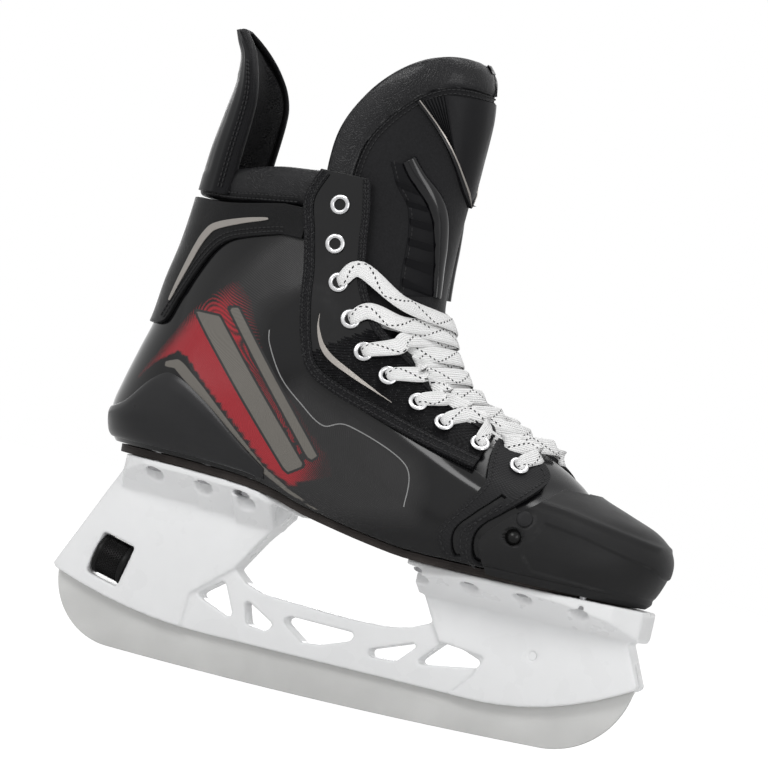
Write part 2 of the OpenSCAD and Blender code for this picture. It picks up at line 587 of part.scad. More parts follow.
// Lace: [point, width, thickness] along its one route. k is a row, counted from the top
function over_skin(x, z, side, out) = skin(x, z, side) + out * skin_out(x, z, side);
function eye_pt(k, side, out) = over_skin(eyes[k][0], eyes[k][1], side, out);
function mid_pt(z, out) =
    let(x = spl(front_line, z), s = spl(front_line, z + 1) - spl(front_line, z - 1), n = unit([2, 0, -s]))
    [x, centre_y(x), z] + out * n;
function edge_pt(k, side, share, out) =
    let(p = eyes[k], q = k == 9 ? [76, 138] : along(facing_front, (k + 0.6) / 10), r = p + (q - p) * share)
    over_skin(r[0], r[1], side, out);
function nose_pt(z, side, turn, out) =
    let(xs = spl(shoulder_line, z), xf = spl(front_line, z))
    over_skin(xs + (xf - xs) * cos(turn), z, side, out);
narrow = [4, 1.9];
flat = [lace_w, lace_t];
bunch = [5.6, 1.7];
under = -0.85;       // between the tongue and a facing
cross_z = [0, 0, 0, 191, 184, 175, 166.5, 158.5, 152, 146]; // height where strand k crosses the middle
function cross_out(side) = side > 0 ? 2.8 : 1;
function rise(k, side) =
    [[eye_pt(k, side, 0.4), narrow],
     [eye_pt(k, side, 4.9) + 0.16 * (edge_pt(k, side, 1, 4.9) - eye_pt(k, side, 4.9)), bunch],
     [edge_pt(k, side, 0.9, 4.2), flat]];
// From hole k on one side to hole k - 1 on the other: over its own facing and under the next
function strand(k, side) = concat(rise(k, side),
    [[nose_pt(0.5 * cross_z[k] + 0.5 * edge_pt(k, side, 1, 0)[2], side, 38, 2.6), flat],
     [mid_pt(cross_z[k], cross_out(side)), flat],
     [nose_pt(0.6 * cross_z[k] + 0.4 * edge_pt(k - 1, side, 1, 0)[2], -side, 32, 0.5), flat],
     [edge_pt(k - 1, -side, 0.5, under), bunch]]);
// The top strand goes over both facings and into hole 3 from above
function last_strand(side) = concat(rise(3, side),
    [[nose_pt(cross_z[3] - 5, side, 38, 2.8), flat], [mid_pt(cross_z[3], cross_out(side)), flat],
     [nose_pt(cross_z[3] + 5, -side, 38, 2.8), flat]],
    flip(rise(2, -side)), [[eye_pt(2, -side, -1.4), narrow]]);
// Under both facings from hole 10 to hole 9 of the other side
function first_strand(side) =
    [[edge_pt(9, side, 0.6, under), bunch], [nose_pt(cross_z[9] - 2, side, 38, 0.4), flat],
     [mid_pt(cross_z[9], side > 0 ? 2.4 : 0.5), flat], [nose_pt(cross_z[9] + 2, -side, 38, 0.4), flat],
     [edge_pt(8, -side, 0.5, under), bunch]];
function lace_half(s) = concat([rise(9, s)[1], rise(9, s)[0]], first_strand(s), strand(8, -s), strand(7, s),
    strand(6, -s), strand(5, s), strand(4, -s), last_strand(s));
function flip(a) = [for (i = [len(a) - 1:-1:0]) a[i]];
lace_bar = [rise(9, -1)[2], [nose_pt(140, -1, 38, 3.4), flat], [mid_pt(141, 4.6), flat],
    [nose_pt(140, 1, 38, 3.4), flat], rise(9, 1)[2]];
lace_route = concat(flip(lace_half(-1)), lace_bar, lace_half(1));
module lace() {
    n = len(lace_route) - 1;
    pts = [for (i = [0:n]) let(p = lace_route[i][0], a = lace_route[max(i - 1, 0)][0],
            b = lace_route[min(i + 1, n)][0], t = unit(b - a), up = unit([-0.55, 0, 0.83]),
            side = unit(up - (up * t) * t), out = cross(t, side), w = lace_route[i][1])
        for (k = [0:7]) p + side * w[0] / 2 * cos(45 * k + 22.5) + out * w[1] / 2 * sin(45 * k + 22.5)];
    quads = [for (i = [0:n - 1]) for (k = [0:7])
        [8 * i + k, 8 * i + (k + 1) % 8, 8 * i + 8 + (k + 1) % 8, 8 * i + 8 + k]];
    faces = concat([for (q = quads) for (f = [[q[0], q[2], q[1]], [q[0], q[3], q[2]]]) f],
        [[for (k = [0:7]) k]], [[for (k = [7:-1:0]) 8 * n + k]]);
    color("white") polyhedron(pts, faces);
}

runner();
holder();
front_pin();
lock_wheel();
lock_bolt();
lock_washers();
rivets_rear();
rivets_front();
rivet_washers();
outsole();
insole();
quarter_shell();
liner();
heel_counter();
ankle_brace();
collar();
tendon_guard();
facing_outer();
facing_inner();
toe_strap_outer();
toe_strap_inner();
toe_cap();
toe_cap_plugs();
tongue_body();
tongue_insert();
tongue_top();
tongue_guard();
eyelets_outer();
eyelets_inner();
lace();
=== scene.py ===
import bmesh
import bpy
import math
import numpy as np
from mathutils import Matrix, Vector


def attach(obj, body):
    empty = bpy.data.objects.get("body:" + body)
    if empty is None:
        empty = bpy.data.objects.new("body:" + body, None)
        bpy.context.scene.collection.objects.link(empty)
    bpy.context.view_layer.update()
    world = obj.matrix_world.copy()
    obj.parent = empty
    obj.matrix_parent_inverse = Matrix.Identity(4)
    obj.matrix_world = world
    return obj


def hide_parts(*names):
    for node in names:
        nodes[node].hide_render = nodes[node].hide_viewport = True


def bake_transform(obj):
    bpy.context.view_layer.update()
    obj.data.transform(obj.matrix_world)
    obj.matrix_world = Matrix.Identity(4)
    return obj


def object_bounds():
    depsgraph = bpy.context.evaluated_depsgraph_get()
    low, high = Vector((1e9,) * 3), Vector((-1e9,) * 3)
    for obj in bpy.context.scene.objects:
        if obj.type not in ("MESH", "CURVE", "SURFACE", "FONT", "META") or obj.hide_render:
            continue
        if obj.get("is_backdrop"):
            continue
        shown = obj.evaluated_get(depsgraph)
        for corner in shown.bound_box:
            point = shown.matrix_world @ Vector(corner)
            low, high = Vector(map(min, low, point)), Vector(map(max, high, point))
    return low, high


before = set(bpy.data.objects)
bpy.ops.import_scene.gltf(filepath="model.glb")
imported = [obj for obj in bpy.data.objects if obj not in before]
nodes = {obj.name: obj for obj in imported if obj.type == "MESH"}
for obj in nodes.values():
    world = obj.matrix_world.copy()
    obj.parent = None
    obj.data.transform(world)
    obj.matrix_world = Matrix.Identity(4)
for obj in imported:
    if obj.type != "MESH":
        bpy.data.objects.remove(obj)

cadBox = [list(corner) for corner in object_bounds()]
mm = 0.001
rootBody = "boot_and_holder"
print("frame loaded, box", cadBox)

# ---------- the boot's skin: the same lines as the part's, [where, value] in mm ----------
soleLine = [[-130, 96], [-92, 95.6], [-60, 94], [-44, 91.2], [-30, 87.2], [-8, 83], [10, 80.2],
            [28, 78.2], [60, 78], [143, 79]]
backLine = [[94, -132], [98, -136.5], [105, -141.5], [117, -143.8], [130, -141.5], [148, -137],
            [163, -133], [183, -130.6], [203, -127], [228, -124.6], [250, -124]]
frontLine = [[77, 130], [83, 138], [92, 142.6], [101, 144.4], [108, 142], [114, 134.5], [119, 121],
             [125, 104.5], [131, 96], [136, 87.5], [141, 77], [146, 64.5], [150, 53], [156, 41],
             [162, 32], [172, 22.5], [186, 15], [200, 11], [230, 10.5], [270, 12], [300, 12],
             [314, 8], [322, 1]]
shoulderLine = [[80, 82], [100, 84], [108, 76], [116, 60], [124, 36], [132, 12], [142, -14],
                [152, -30], [172, -50], [200, -65], [260, -62], [322, -45]]
heelRound = [[92, 34], [120, 36], [160, 42], [200, 48], [250, 46]]
heelW = [[90, 31.5], [104, 34], [120, 35], [150, 32.5], [180, 31], [210, 30], [250, 29]]
waistW = [[80, 35], [100, 37.5], [120, 40], [150, 42], [185, 41.5], [215, 38.5], [250, 37],
          [300, 33], [322, 28]]
ballW = [[78, 47], [95, 48.5], [110, 48], [130, 45], [150, 42]]
toeW = [[78, 44], [95, 45.5], [110, 44], [130, 40]]
quarterEnd = [[84, 94], [98, 92], [108, 86], [118, 72], [126, 57], [134, 38], [140, 22], [148, 5],
              [158, -13], [170, -27], [183, -37], [199, -45], [217, -50], [228, -53]]


def slope(t, i):
    a, b = max(i - 1, 0), min(i + 1, len(t) - 1)
    return (t[b][1] - t[a][1]) / (t[b][0] - t[a][0])


def spl(t, x):
    if x <= t[0][0]:
        return t[0][1]
    if x >= t[-1][0]:
        return t[-1][1]
    i = 0
    while x >= t[i + 1][0]:
        i += 1
    a, b = t[i], t[i + 1]
    h = b[0] - a[0]
    u = (x - a[0]) / h
    return (a[1] * (2 * u ** 3 - 3 * u * u + 1) + b[1] * (3 * u * u - 2 * u ** 3)
            + h * slope(t, i) * (u ** 3 - 2 * u * u + u) + h * slope(t, i + 1) * (u ** 3 - u * u))


def soleZ(x):
    return spl(soleLine, x)


def centreY(x):
    return 5 * (max(0, x + 20) / 165) ** 2


def half(x, z):
    full = spl([[-112, spl(heelW, z)], [-45, spl(waistW, z)], [60, spl(ballW, z)], [104, spl(toeW, z)]], x)
    full -= 7 * max(0, 1 - (z - soleZ(x)) / 16) ** 2
    d, r = x - spl(backLine, z), spl(heelRound, z)
    xs, xf = spl(shoulderLine, z), spl(frontLine, z)
    back = 0 if d <= 0 else 1 if d >= r else math.sqrt(1 - (1 - d / r) ** 2)
    front = 1 if x <= xs else 0 if x >= xf else math.sqrt(1 - ((x - xs) / (xf - xs)) ** 2)
    return full * back * front


def skinOut(x, z, side):
    return Vector((-(half(x + 0.5, z) - half(x - 0.5, z)), side,
                   -(half(x, z + 0.5) - half(x, z - 0.5)))).normalized()


def onSkin(x, z, side, out=0):
    p = Vector((x, side * half(x, z) + centreY(x), z))
    return p + skinOut(x, z, side) * out if out else p


backX = -136  # where a band's height at the very back is read


def roundShare(a, turn):
    return (1 - math.cos(math.radians(turn * a))) / (1 - math.cos(math.radians(turn)))


def catmull(p, u):
    return 0.5 * (2 * p[1] + (p[2] - p[0]) * u + (2 * p[0] - 5 * p[1] + 4 * p[2] - p[3]) * u * u
                  + (3 * p[1] - p[0] - 3 * p[2] + p[3]) * u ** 3)


def along(e, v):
    # a point at share v of a smooth line through the points e
    n = len(e) - 1
    k = min(int(v * n), n - 1)
    return catmull([Vector(e[max(0, min(n, k + d))]) for d in (-1, 0, 1, 2)], v * n - k)


def steps(a, b, n):
    return [a + (b - a) * i / n for i in range(n + 1)]


def lineOf(e, n, a=0, b=1):
    return [along(e, t) for t in steps(a, b, n)]


def between(edgeA, edgeB, side, shares, place=onSkin):
    # rows of skin points at shares of the way from one line to another
    return [[place(*(p + (q - p) * u), side) for p, q in zip(edgeA, edgeB)] for u in shares]


def skinOrMiddle(x, z, i):
    return Vector((x, centreY(x), z)) if i == 0 else onSkin(x, z, 1 if i > 0 else -1)


def endName(side):
    return "Outer" if side < 0 else "Inner"


def heelGrid(nu, nv, low, high, xEnd):
    rows = []
    for i in range(-nu, nu + 1):
        row = []
        for j in range(nv + 1):
            v = j / nv
            zb = low(backX) + (high(backX) - low(backX)) * v
            xb, e1 = spl(backLine, zb), xEnd(zb)
            xe = xEnd(low(e1) + (high(e1) - low(e1)) * v)
            x = xb + (xe - xb) * roundShare(abs(i) / nu, 140)
            z = low(x) + (high(x) - low(x)) * v
            row.append(skinOrMiddle(x, z, i))
        rows.append(row)
    return rows


def frontGrid(nu, zs, xEnd):
    rows = []
    for i in range(-nu, nu + 1):
        row = []
        for z in zs:
            xf = spl(frontLine, z)
            x = xf - (xf - xEnd(z)) * roundShare(abs(i) / nu, 120)
            row.append(skinOrMiddle(x, z, i))
        rows.append(row)
    return rows


# ---------- meshes ----------
def newObject(name, mesh, material=None):
    obj = bpy.data.objects.new(name, mesh)
    bpy.context.scene.collection.objects.link(obj)
    if material:
        mesh.materials.append(material)
    return obj


def meshFrom(name, points, faces, material=None, smooth=True):
    mesh = bpy.data.meshes.new(name)
    mesh.from_pydata([tuple(c * mm for c in p) for p in points], [], faces)
    mesh.update()
    mesh.shade_smooth() if smooth else mesh.shade_flat()
    return newObject(name, mesh, material)


def gridNormals(g, way):
    nu, nv = len(g) - 1, len(g[0]) - 1
    out = []
    for i in range(nu + 1):
        row = []
        for j in range(nv + 1):
            du = g[min(i + 1, nu)][j] - g[max(i - 1, 0)][j]
            dv = g[i][min(j + 1, nv)] - g[i][max(j - 1, 0)]
            row.append(du.cross(dv).normalized() * way)
        out.append(row)
    return out


def outward(g):
    # +1 or -1, so that the sheet's normal points away from the leg
    i, j = len(g) // 4, len(g[0]) // 4
    n = (g[i + 1][j] - g[i][j]).cross(g[i][j + 1] - g[i][j])
    return 1 if n.dot(g[i][j] - Vector((-50, 0, g[i][j].z))) > 0 else -1


def slab(name, g, way, inner, outer, material, rim=0.5, rimSteps=3, gap=None):
    # a sheet of points given an inside and an outside; inner and outer are mm, or functions of
    # (point, u, v), and gap says which cells are left open
    nu, nv = len(g) - 1, len(g[0]) - 1
    normals = gridNormals(g, way)
    m = (nu + 1) * (nv + 1)
    points = []
    for side in (outer, inner):
        for i in range(nu + 1):
            for j in range(nv + 1):
                d = side(g[i][j], i / nu, j / nv) if callable(side) else side
                points.append(g[i][j] + normals[i][j] * d)
    at = lambda i, j: i * (nv + 1) + j
    top = []
    for i in range(nu):
        for j in range(nv):
            if not (gap and gap(i, j)):
                q = [at(i, j), at(i + 1, j), at(i + 1, j + 1), at(i, j + 1)]
                top.append(q if way > 0 else q[::-1])
    edges = {(q[k], q[(k + 1) % 4]) for q in top for k in range(4)}
    faces = top + [[m + k for k in q[::-1]] for q in top]
    faces += [[b, a, m + a, m + b] for a, b in edges if (b, a) not in edges]
    faces = sorted(faces)
    obj = meshFrom(name, points, faces, material)
    us, vs = [], []
    for i in range(nu + 1):
        for j in range(nv + 1):
            us.append(0 if i == 0 else us[at(i - 1, j)] + (g[i][j] - g[i - 1][j]).length)
            vs.append(0 if j == 0 else vs[at(i, j - 1)] + (g[i][j] - g[i][j - 1]).length)
    uv = obj.data.uv_layers.new(name="cloth")
    for loop in obj.data.loops:
        k = loop.vertex_index % m
        uv.data[loop.index].uv = (us[k], vs[k])
    if gap:
        used = {k for f in faces for k in f}
        shape = bmesh.new()
        shape.from_mesh(obj.data)
        shape.verts.ensure_lookup_table()
        bmesh.ops.delete(shape, geom=[v for v in shape.verts if v.index not in used], context="VERTS")
        shape.to_mesh(obj.data)
        shape.free()
    return roundEdges(obj, rim, rimSteps)


def roundEdges(obj, width, segments=3, angle=50, harden=True):
    bevel = obj.modifiers.new("rim", "BEVEL")
    bevel.width = width * mm
    bevel.segments = segments
    bevel.limit_method = "ANGLE"
    bevel.angle_limit = math.radians(angle)
    bevel.harden_normals = harden
    return obj


def apply(obj):
    # the modifiers' result becomes the piece's own plain mesh
    dg = bpy.context.evaluated_depsgraph_get()
    made = bpy.data.meshes.new_from_object(obj.evaluated_get(dg), preserve_all_data_layers=True,
                                           depsgraph=dg)
    obj.modifiers.clear()
    obj.data = made
    return obj


def loft(name, rings, material, closed=False):
    # rings of points joined into a tube, its ends capped
    n = len(rings[0])
    points = [p for r in rings for p in r]
    faces = []
    last = len(rings) if closed else len(rings) - 1
    for i in range(last):
        for k in range(n):
            a, b = i * n, (i + 1) % len(rings) * n
            faces.append([a + k, a + (k + 1) % n, b + (k + 1) % n, b + k])
    if not closed:
        faces.append(list(range(n))[::-1])
        faces.append([(len(rings) - 1) * n + k for k in range(n)])
    return meshFrom(name, points, faces, material)


def oval(p, a, b, ra, rb, n):
    turns = [2 * math.pi * k / n for k in range(n)]
    return [p + a * math.cos(w) * ra + b * math.sin(w) * rb for w in turns]


def wayAt(points, k):
    return (points[min(k + 1, len(points) - 1)] - points[max(k - 1, 0)]).normalized()


def piping(name, edge, hubX, wide, thick, material, inset=0.0):
    # a cord along an edge, its width pointing away from the upright at hubX
    rings = []
    for k, p in enumerate(edge):
        n = Vector((p.x - hubX, p.y, 0)).normalized()
        rings.append(oval(p - n * inset, n, wayAt(edge, k).cross(n).normalized(), wide, thick, 10))
    return loft(name, rings, material)


def piece(obj, body, slotName, *replaced):
    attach(obj, body)
    if replaced:
        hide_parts(*replaced)
    return obj


# ---------- finishes ----------
softBlack = (0.007, 0.007, 0.008)


def newMaterial(name, rough, **sockets):
    mat = bpy.data.materials.new(name)
    mat.use_nodes = True
    bsdf = mat.node_tree.nodes["Principled BSDF"]
    bsdf.inputs["Roughness"].default_value = rough
    bsdf.inputs["Specular IOR Level"].default_value = 0.22 if rough < 0.32 else 0.1
    bsdf.inputs["Coat IOR"].default_value = 1.25
    for key, value in sockets.items():
        bsdf.inputs[key.replace("_", " ")].default_value = value
    return mat, mat.node_tree, bsdf


def node(tree, kind, inputs={}, **props):
    made = tree.nodes.new("ShaderNode" + kind)
    for key, value in props.items():
        setattr(made, key, value)
    for key, value in inputs.items():
        if isinstance(value, bpy.types.NodeSocket):
            tree.links.new(value, made.inputs[key])
        else:
            made.inputs[key].default_value = value
    return made


def calc(tree, op, a, b=0.0, c=0.0):
    return node(tree, "Math", {0: a, 1: b, 2: c}, operation=op).outputs[0]


def mixColor(tree, fac, a, b):
    made = node(tree, "Mix", {}, data_type="RGBA")
    for key, value in ((0, fac), (6, a), (7, b)):
        if isinstance(value, bpy.types.NodeSocket):
            tree.links.new(value, made.inputs[key])
        else:
            made.inputs[key].default_value = value
    return made.outputs[2]


def rgb(c, k=1.0):
    return (c[0] * k, c[1] * k, c[2] * k, 1)


def ramp(tree, value, low, high, a, b):
    return node(tree, "MapRange", {0: value, 1: low, 2: high, 3: a, 4: b}).outputs[0]


def surface(tree, bsdf, color, spread, roughLow, roughHigh, height, depth, coords, patch=60):
    # colour and roughness that vary in soft patches, and a bump of the given height in metres
    noise = node(tree, "TexNoise", {"Vector": coords, "Scale": patch, "Detail": 4}).outputs[0]
    tree.links.new(mixColor(tree, ramp(tree, noise, 0.3, 0.7, 0, 1), rgb(color, 1 - spread),
                            rgb(color, 1 + spread)), bsdf.inputs["Base Color"])
    tree.links.new(ramp(tree, noise, 0.3, 0.7, roughLow, roughHigh), bsdf.inputs["Roughness"])
    if height is not None:
        bump = node(tree, "Bump", {"Height": height, "Distance": depth, "Strength": 1})
        tree.links.new(bump.outputs[0], bsdf.inputs["Normal"])


def objectCoords(tree):
    return node(tree, "TexCoord").outputs["Object"]


def uvCoords(tree):
    return node(tree, "UVMap", {}, uv_map="cloth").outputs[0]


def overlay(tree, bsdf, fac, color):
    # another colour over the one that the shader has
    base = bsdf.inputs["Base Color"].links[0].from_socket
    tree.links.new(mixColor(tree, fac, base, color), bsdf.inputs["Base Color"])


def sineOf(tree, value, pitch):
    return calc(tree, "SINE", calc(tree, "MULTIPLY", value, 2 * math.pi / pitch))


def leather(name, color, rough=0.42, grain=900, depth=0.00012, **sockets):
    mat, tree, bsdf = newMaterial(name, rough, **sockets)
    xyz = objectCoords(tree)
    cells = node(tree, "TexVoronoi", {"Vector": xyz, "Scale": grain}, feature="DISTANCE_TO_EDGE").outputs[0]
    pores = node(tree, "TexNoise", {"Vector": xyz, "Scale": grain * 2, "Detail": 3}).outputs[0]
    height = calc(tree, "MULTIPLY_ADD", pores, 0.4, ramp(tree, cells, 0, 0.15, 0, 1))
    surface(tree, bsdf, color, 0.12, rough - 0.06, rough + 0.08, height, depth, xyz)
    return mat


def plastic(name, color, rough=0.3, grain=1500, depth=0.00002, spread=0.05, **sockets):
    mat, tree, bsdf = newMaterial(name, rough, **sockets)
    xyz = objectCoords(tree)
    height = node(tree, "TexNoise", {"Vector": xyz, "Scale": grain, "Detail": 2}).outputs[0]
    surface(tree, bsdf, color, spread, rough - 0.04, rough + 0.06, height, depth, xyz)
    return mat


def felt(name, color, rough=0.9, depth=0.0004):
    mat, tree, bsdf = newMaterial(name, rough, Sheen_Weight=0.25, Sheen_Roughness=0.5)
    xyz = objectCoords(tree)
    fibres = node(tree, "TexNoise", {"Vector": xyz, "Scale": 700, "Detail": 6,
                                     "Distortion": 1.5}).outputs[0]
    surface(tree, bsdf, color, 0.25, rough - 0.05, rough, fibres, depth, xyz, patch=900)
    return mat


def weaveHeight(tree, uv, pitchU, pitchV):
    parts = node(tree, "SeparateXYZ", {0: uv})
    u, v = sineOf(tree, parts.outputs[0], 2 * pitchU), sineOf(tree, parts.outputs[1], 2 * pitchV)
    return calc(tree, "MULTIPLY_ADD", calc(tree, "MULTIPLY", u, v), 0.5, 0.5)


def woven(name, color, pitchU, pitchV, rough=0.6, depth=0.0003, hollowShade=0.5, **sockets):
    mat, tree, bsdf = newMaterial(name, rough, **sockets)
    height = weaveHeight(tree, uvCoords(tree), pitchU, pitchV)
    surface(tree, bsdf, color, 0.15, rough - 0.05, rough + 0.1, height, depth, objectCoords(tree))
    # painted shade: the weave's low hollows are darkened towards a quarter of the cloth's colour
    low = calc(tree, "SUBTRACT", 1, height)
    overlay(tree, bsdf, calc(tree, "MULTIPLY", low, hollowShade), rgb(color, 0.25))
    return mat


def metal(name, color, rough, stretch=(1, 1, 1), grain=400, depth=0.00001):
    mat, tree, bsdf = newMaterial(name, rough, Metallic=1.0)
    xyz = node(tree, "Mapping", {"Vector": objectCoords(tree), "Scale": stretch}).outputs[0]
    brush = node(tree, "TexNoise", {"Vector": xyz, "Scale": grain, "Detail": 5}).outputs[0]
    surface(tree, bsdf, color, 0.06, rough - 0.05, rough + 0.08, brush, depth, xyz)
    return mat


# ---------- repeats on points: stitches, eyelets, ribs ----------
def scatterTree(material):
    tree = bpy.data.node_groups.new("scatterPieces", "GeometryNodeTree")
    face = tree.interface
    face.new_socket("Points", in_out="INPUT", socket_type="NodeSocketGeometry")
    pieceSocket = face.new_socket("Piece", in_out="INPUT", socket_type="NodeSocketObject")
    sizeSocket = face.new_socket("Size", in_out="INPUT", socket_type="NodeSocketFloat")
    face.new_socket("Geometry", in_out="OUTPUT", socket_type="NodeSocketGeometry")
    new = tree.nodes.new
    start, end = new("NodeGroupInput"), new("NodeGroupOutput")
    alongNode, outNode = new("GeometryNodeInputNamedAttribute"), new("GeometryNodeInputNamedAttribute")
    for made, name in ((alongNode, "along"), (outNode, "out")):
        made.data_type = "FLOAT_VECTOR"
        made.inputs["Name"].default_value = name
    turn = new("FunctionNodeAxesToRotation")
    turn.primary_axis, turn.secondary_axis = "Z", "X"
    info, place = new("GeometryNodeObjectInfo"), new("GeometryNodeInstanceOnPoints")
    real, paint = new("GeometryNodeRealizeInstances"), new("GeometryNodeSetMaterial")
    paint.inputs["Material"].default_value = material
    link = tree.links.new
    link(start.outputs["Points"], place.inputs["Points"])
    link(start.outputs["Piece"], info.inputs["Object"])
    link(start.outputs["Size"], place.inputs["Scale"])
    link(outNode.outputs["Attribute"], turn.inputs[0])
    link(alongNode.outputs["Attribute"], turn.inputs[1])
    link(info.outputs["Geometry"], place.inputs["Instance"])
    link(turn.outputs[0], place.inputs["Rotation"])
    link(place.outputs[0], real.inputs[0])
    link(real.outputs[0], paint.inputs[0])
    link(paint.outputs[0], end.inputs[0])
    return tree, pieceSocket.identifier, sizeSocket.identifier


def scatter(name, places, shape, material, size=1.0):
    # places: (point in mm, direction along, direction out); shape lies along X with Z out
    mesh = bpy.data.meshes.new(name + "Points")
    mesh.from_pydata([tuple(c * mm for c in p[0]) for p in places], [], [])
    for key, index in (("along", 1), ("out", 2)):
        data = mesh.attributes.new(key, "FLOAT_VECTOR", "POINT").data
        for k, p in enumerate(places):
            data[k].vector = p[index]
    obj = newObject(name, mesh)
    tree, pieceKey, sizeKey = scatterTree(material)
    modifier = obj.modifiers.new("scatter", "NODES")
    modifier.node_group = tree
    modifier[pieceKey] = shape
    modifier[sizeKey] = size
    return apply(obj)


def stitchShape(length, width):
    points, faces, n = [], [], 5
    stations = [(-0.5, 0.35), (-0.3, 0.95), (0.3, 0.95), (0.5, 0.35)]
    for x, r in stations:
        for k in range(n):
            a = 2 * math.pi * k / n
            points.append((x * length, math.cos(a) * r * width / 2, math.sin(a) * r * width / 2))
    for i in range(3):
        for k in range(n):
            faces.append([i * n + k, i * n + (k + 1) % n, (i + 1) * n + (k + 1) % n, (i + 1) * n + k][::-1])
    faces.append(list(range(n)))
    faces.append([3 * n + k for k in range(n)][::-1])
    obj = meshFrom("stitchShape", points, faces)
    obj.hide_render = True
    return obj


def sewLine(points, normals, pitch):
    # places at an even pitch along a line of 3-D points
    places, left = [], pitch / 2
    for a, b, n in zip(points, points[1:], normals):
        d = (b - a).length
        while left < d:
            places.append((a + (b - a) * left / d, (b - a).normalized(), n))
            left += pitch
        left -= d
    return places


def sewOnSkin(edge, side, out, pitch=2.6, shift=0.0, n=60, span=(0, 1)):
    line = lineOf(edge, n, *span)
    if shift:
        line = shifted(line, shift)
    points = [onSkin(p[0], p[1], side, out) for p in line]
    normals = [skinOut(p[0], p[1], side) for p in line]
    return sewLine(points, normals, pitch)


def shifted(line, d):
    # a line in X and Z moved sideways by d, to the left of its way
    out = []
    for k, p in enumerate(line):
        t = (Vector(line[min(k + 1, len(line) - 1)]) - Vector(line[max(k - 1, 0)])).normalized()
        out.append(Vector((p[0] - t[1] * d, p[1] + t[0] * d)))
    return out


threadPlaces = {"thread": [], "threadGuard": [], "threadTongue": []}

# ---------- camera, light and floor ----------
viewTarget = Vector((-0.01208, 0, 0.15684))
turn, roll = math.radians(17), math.radians(12.9)
towards = Vector((math.sin(turn), -math.cos(turn), 0))
across = Vector((math.cos(turn), math.sin(turn), 0))
up = Vector((0, 0, 1))
camData = bpy.data.cameras.new("camera")
camData.lens = 241.4
camera = bpy.data.objects.new("camera", camData)
bpy.context.scene.collection.objects.link(camera)
camX = across * math.cos(roll) + up * math.sin(roll)
camY = -across * math.sin(roll) + up * math.cos(roll)
spot = viewTarget + towards * 2.5
camera.matrix_world = Matrix([[camX[k], camY[k], towards[k], spot[k]] for k in range(3)] + [[0, 0, 0, 1]])
bpy.context.scene.camera = camera
bpy.context.scene.view_settings.view_transform = "Standard"

lamps = {  # place, aim, size in metres, watts
    "key": ((-0.5, -1.5, 1.2), (0, 0, 0.15), (0.9, 0.6), 14),
    "fill": ((1.3, -1.0, 0.5), (0, 0, 0.12), (0.5, 0.9), 6),
    "top": ((0.1, 0.1, 1.5), (0, 0, 0.15), (1.0, 0.5), 9),
    "back": ((-0.7, 1.3, 0.7), (0, 0, 0.15), (0.9, 0.7), 7),
}
for name, (place, aim, size, watts) in lamps.items():
    data = bpy.data.lights.new(name, "AREA")
    data.shape = "RECTANGLE"
    data.size, data.size_y = size
    data.energy = watts
    lamp = bpy.data.objects.new(name, data)
    face = (Vector(aim) - Vector(place)).to_track_quat("-Z", "Y").to_matrix().to_4x4()
    lamp.matrix_world = Matrix.Translation(place) @ face
    bpy.context.scene.collection.objects.link(lamp)

world = bpy.data.worlds.new("studio")
bpy.context.scene.world = world
world.use_nodes = True
worldTree = world.node_tree
worldOut = worldTree.nodes["World Output"]
plain = node(worldTree, "Background", {"Color": (1, 1, 1, 1), "Strength": 0.3})
white = node(worldTree, "Background", {"Color": (1, 1, 1, 1), "Strength": 1.0})
rays = node(worldTree, "LightPath")
seen = calc(worldTree, "MAXIMUM", rays.outputs["Is Camera Ray"], rays.outputs["Is Transmission Ray"])
seen = calc(worldTree, "MAXIMUM", seen, rays.outputs["Is Glossy Ray"])
pick = node(worldTree, "MixShader", {0: seen, 1: plain.outputs[0], 2: white.outputs[0]})
worldTree.links.new(pick.outputs[0], worldOut.inputs[0])

floorMat, floorTree, floorBsdf = newMaterial("floorWhite", 0.9)
floorBsdf.inputs["Base Color"].default_value = (0.8, 0.8, 0.8, 1)
glow = node(floorTree, "Emission", {"Color": (1, 1, 1, 1), "Strength": 1.25})
floorRays = node(floorTree, "LightPath")
floorSeen = calc(floorTree, "MULTIPLY", floorRays.outputs["Is Camera Ray"], 0.78)
floorMix = node(floorTree, "MixShader", {0: floorSeen, 1: floorBsdf.outputs[0], 2: glow.outputs[0]})
floorTree.links.new(floorMix.outputs[0], floorTree.nodes["Material Output"].inputs[0])
corners = [(3000 * a, 3000 * b, -0.2) for a, b in ((-1, -1), (1, -1), (1, 1), (-1, 1))]
meshFrom("floor", corners, [[0, 1, 2, 3]], floorMat)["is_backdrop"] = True
print("camera and light placed")

# ---------- quarter: the boot's composite shell ----------
quarterLook = {
    "black": (0.0045, 0.0045, 0.005), "charcoal": (0.026, 0.0255, 0.026), "red": (0.33, 0.022, 0.03),
    "stripe": (0.15, 0.14, 0.125), "line": (0.28, 0.28, 0.28), "dot": 0.85, "thick": 3.0}
redLow = [(-127, 132), (-119, 142), (-108, 150), (-102, 148), (-89, 137), (-67, 120), (-50, 106), (-36, 99)]
redBack = [(-128, 134), (-119, 150), (-108, 170), (-95, 183), (-88, 189)]
redFront = [(-84, 190), (-76, 184), (-69, 172), (-62, 158), (-53, 148), (-37, 134), (-20, 119), (-12, 108)]
stripeLine = [(-112, 143), (-107, 144), (-103, 142), (-91, 134), (-71, 119), (-51, 104), (-37, 97),
              (-18, 90)]
trimLine = [(-62, 170), (-60, 163), (-50.5, 149), (-38, 139), (-24.5, 131), (-11, 133.5), (21, 121.5),
            (25, 102)]
barWide = [(-104, 171), (-90, 171), (-30, 110), (-38, 105)]
barThin = [(-86, 176), (-81, 177), (-24, 116), (-27.5, 113)]
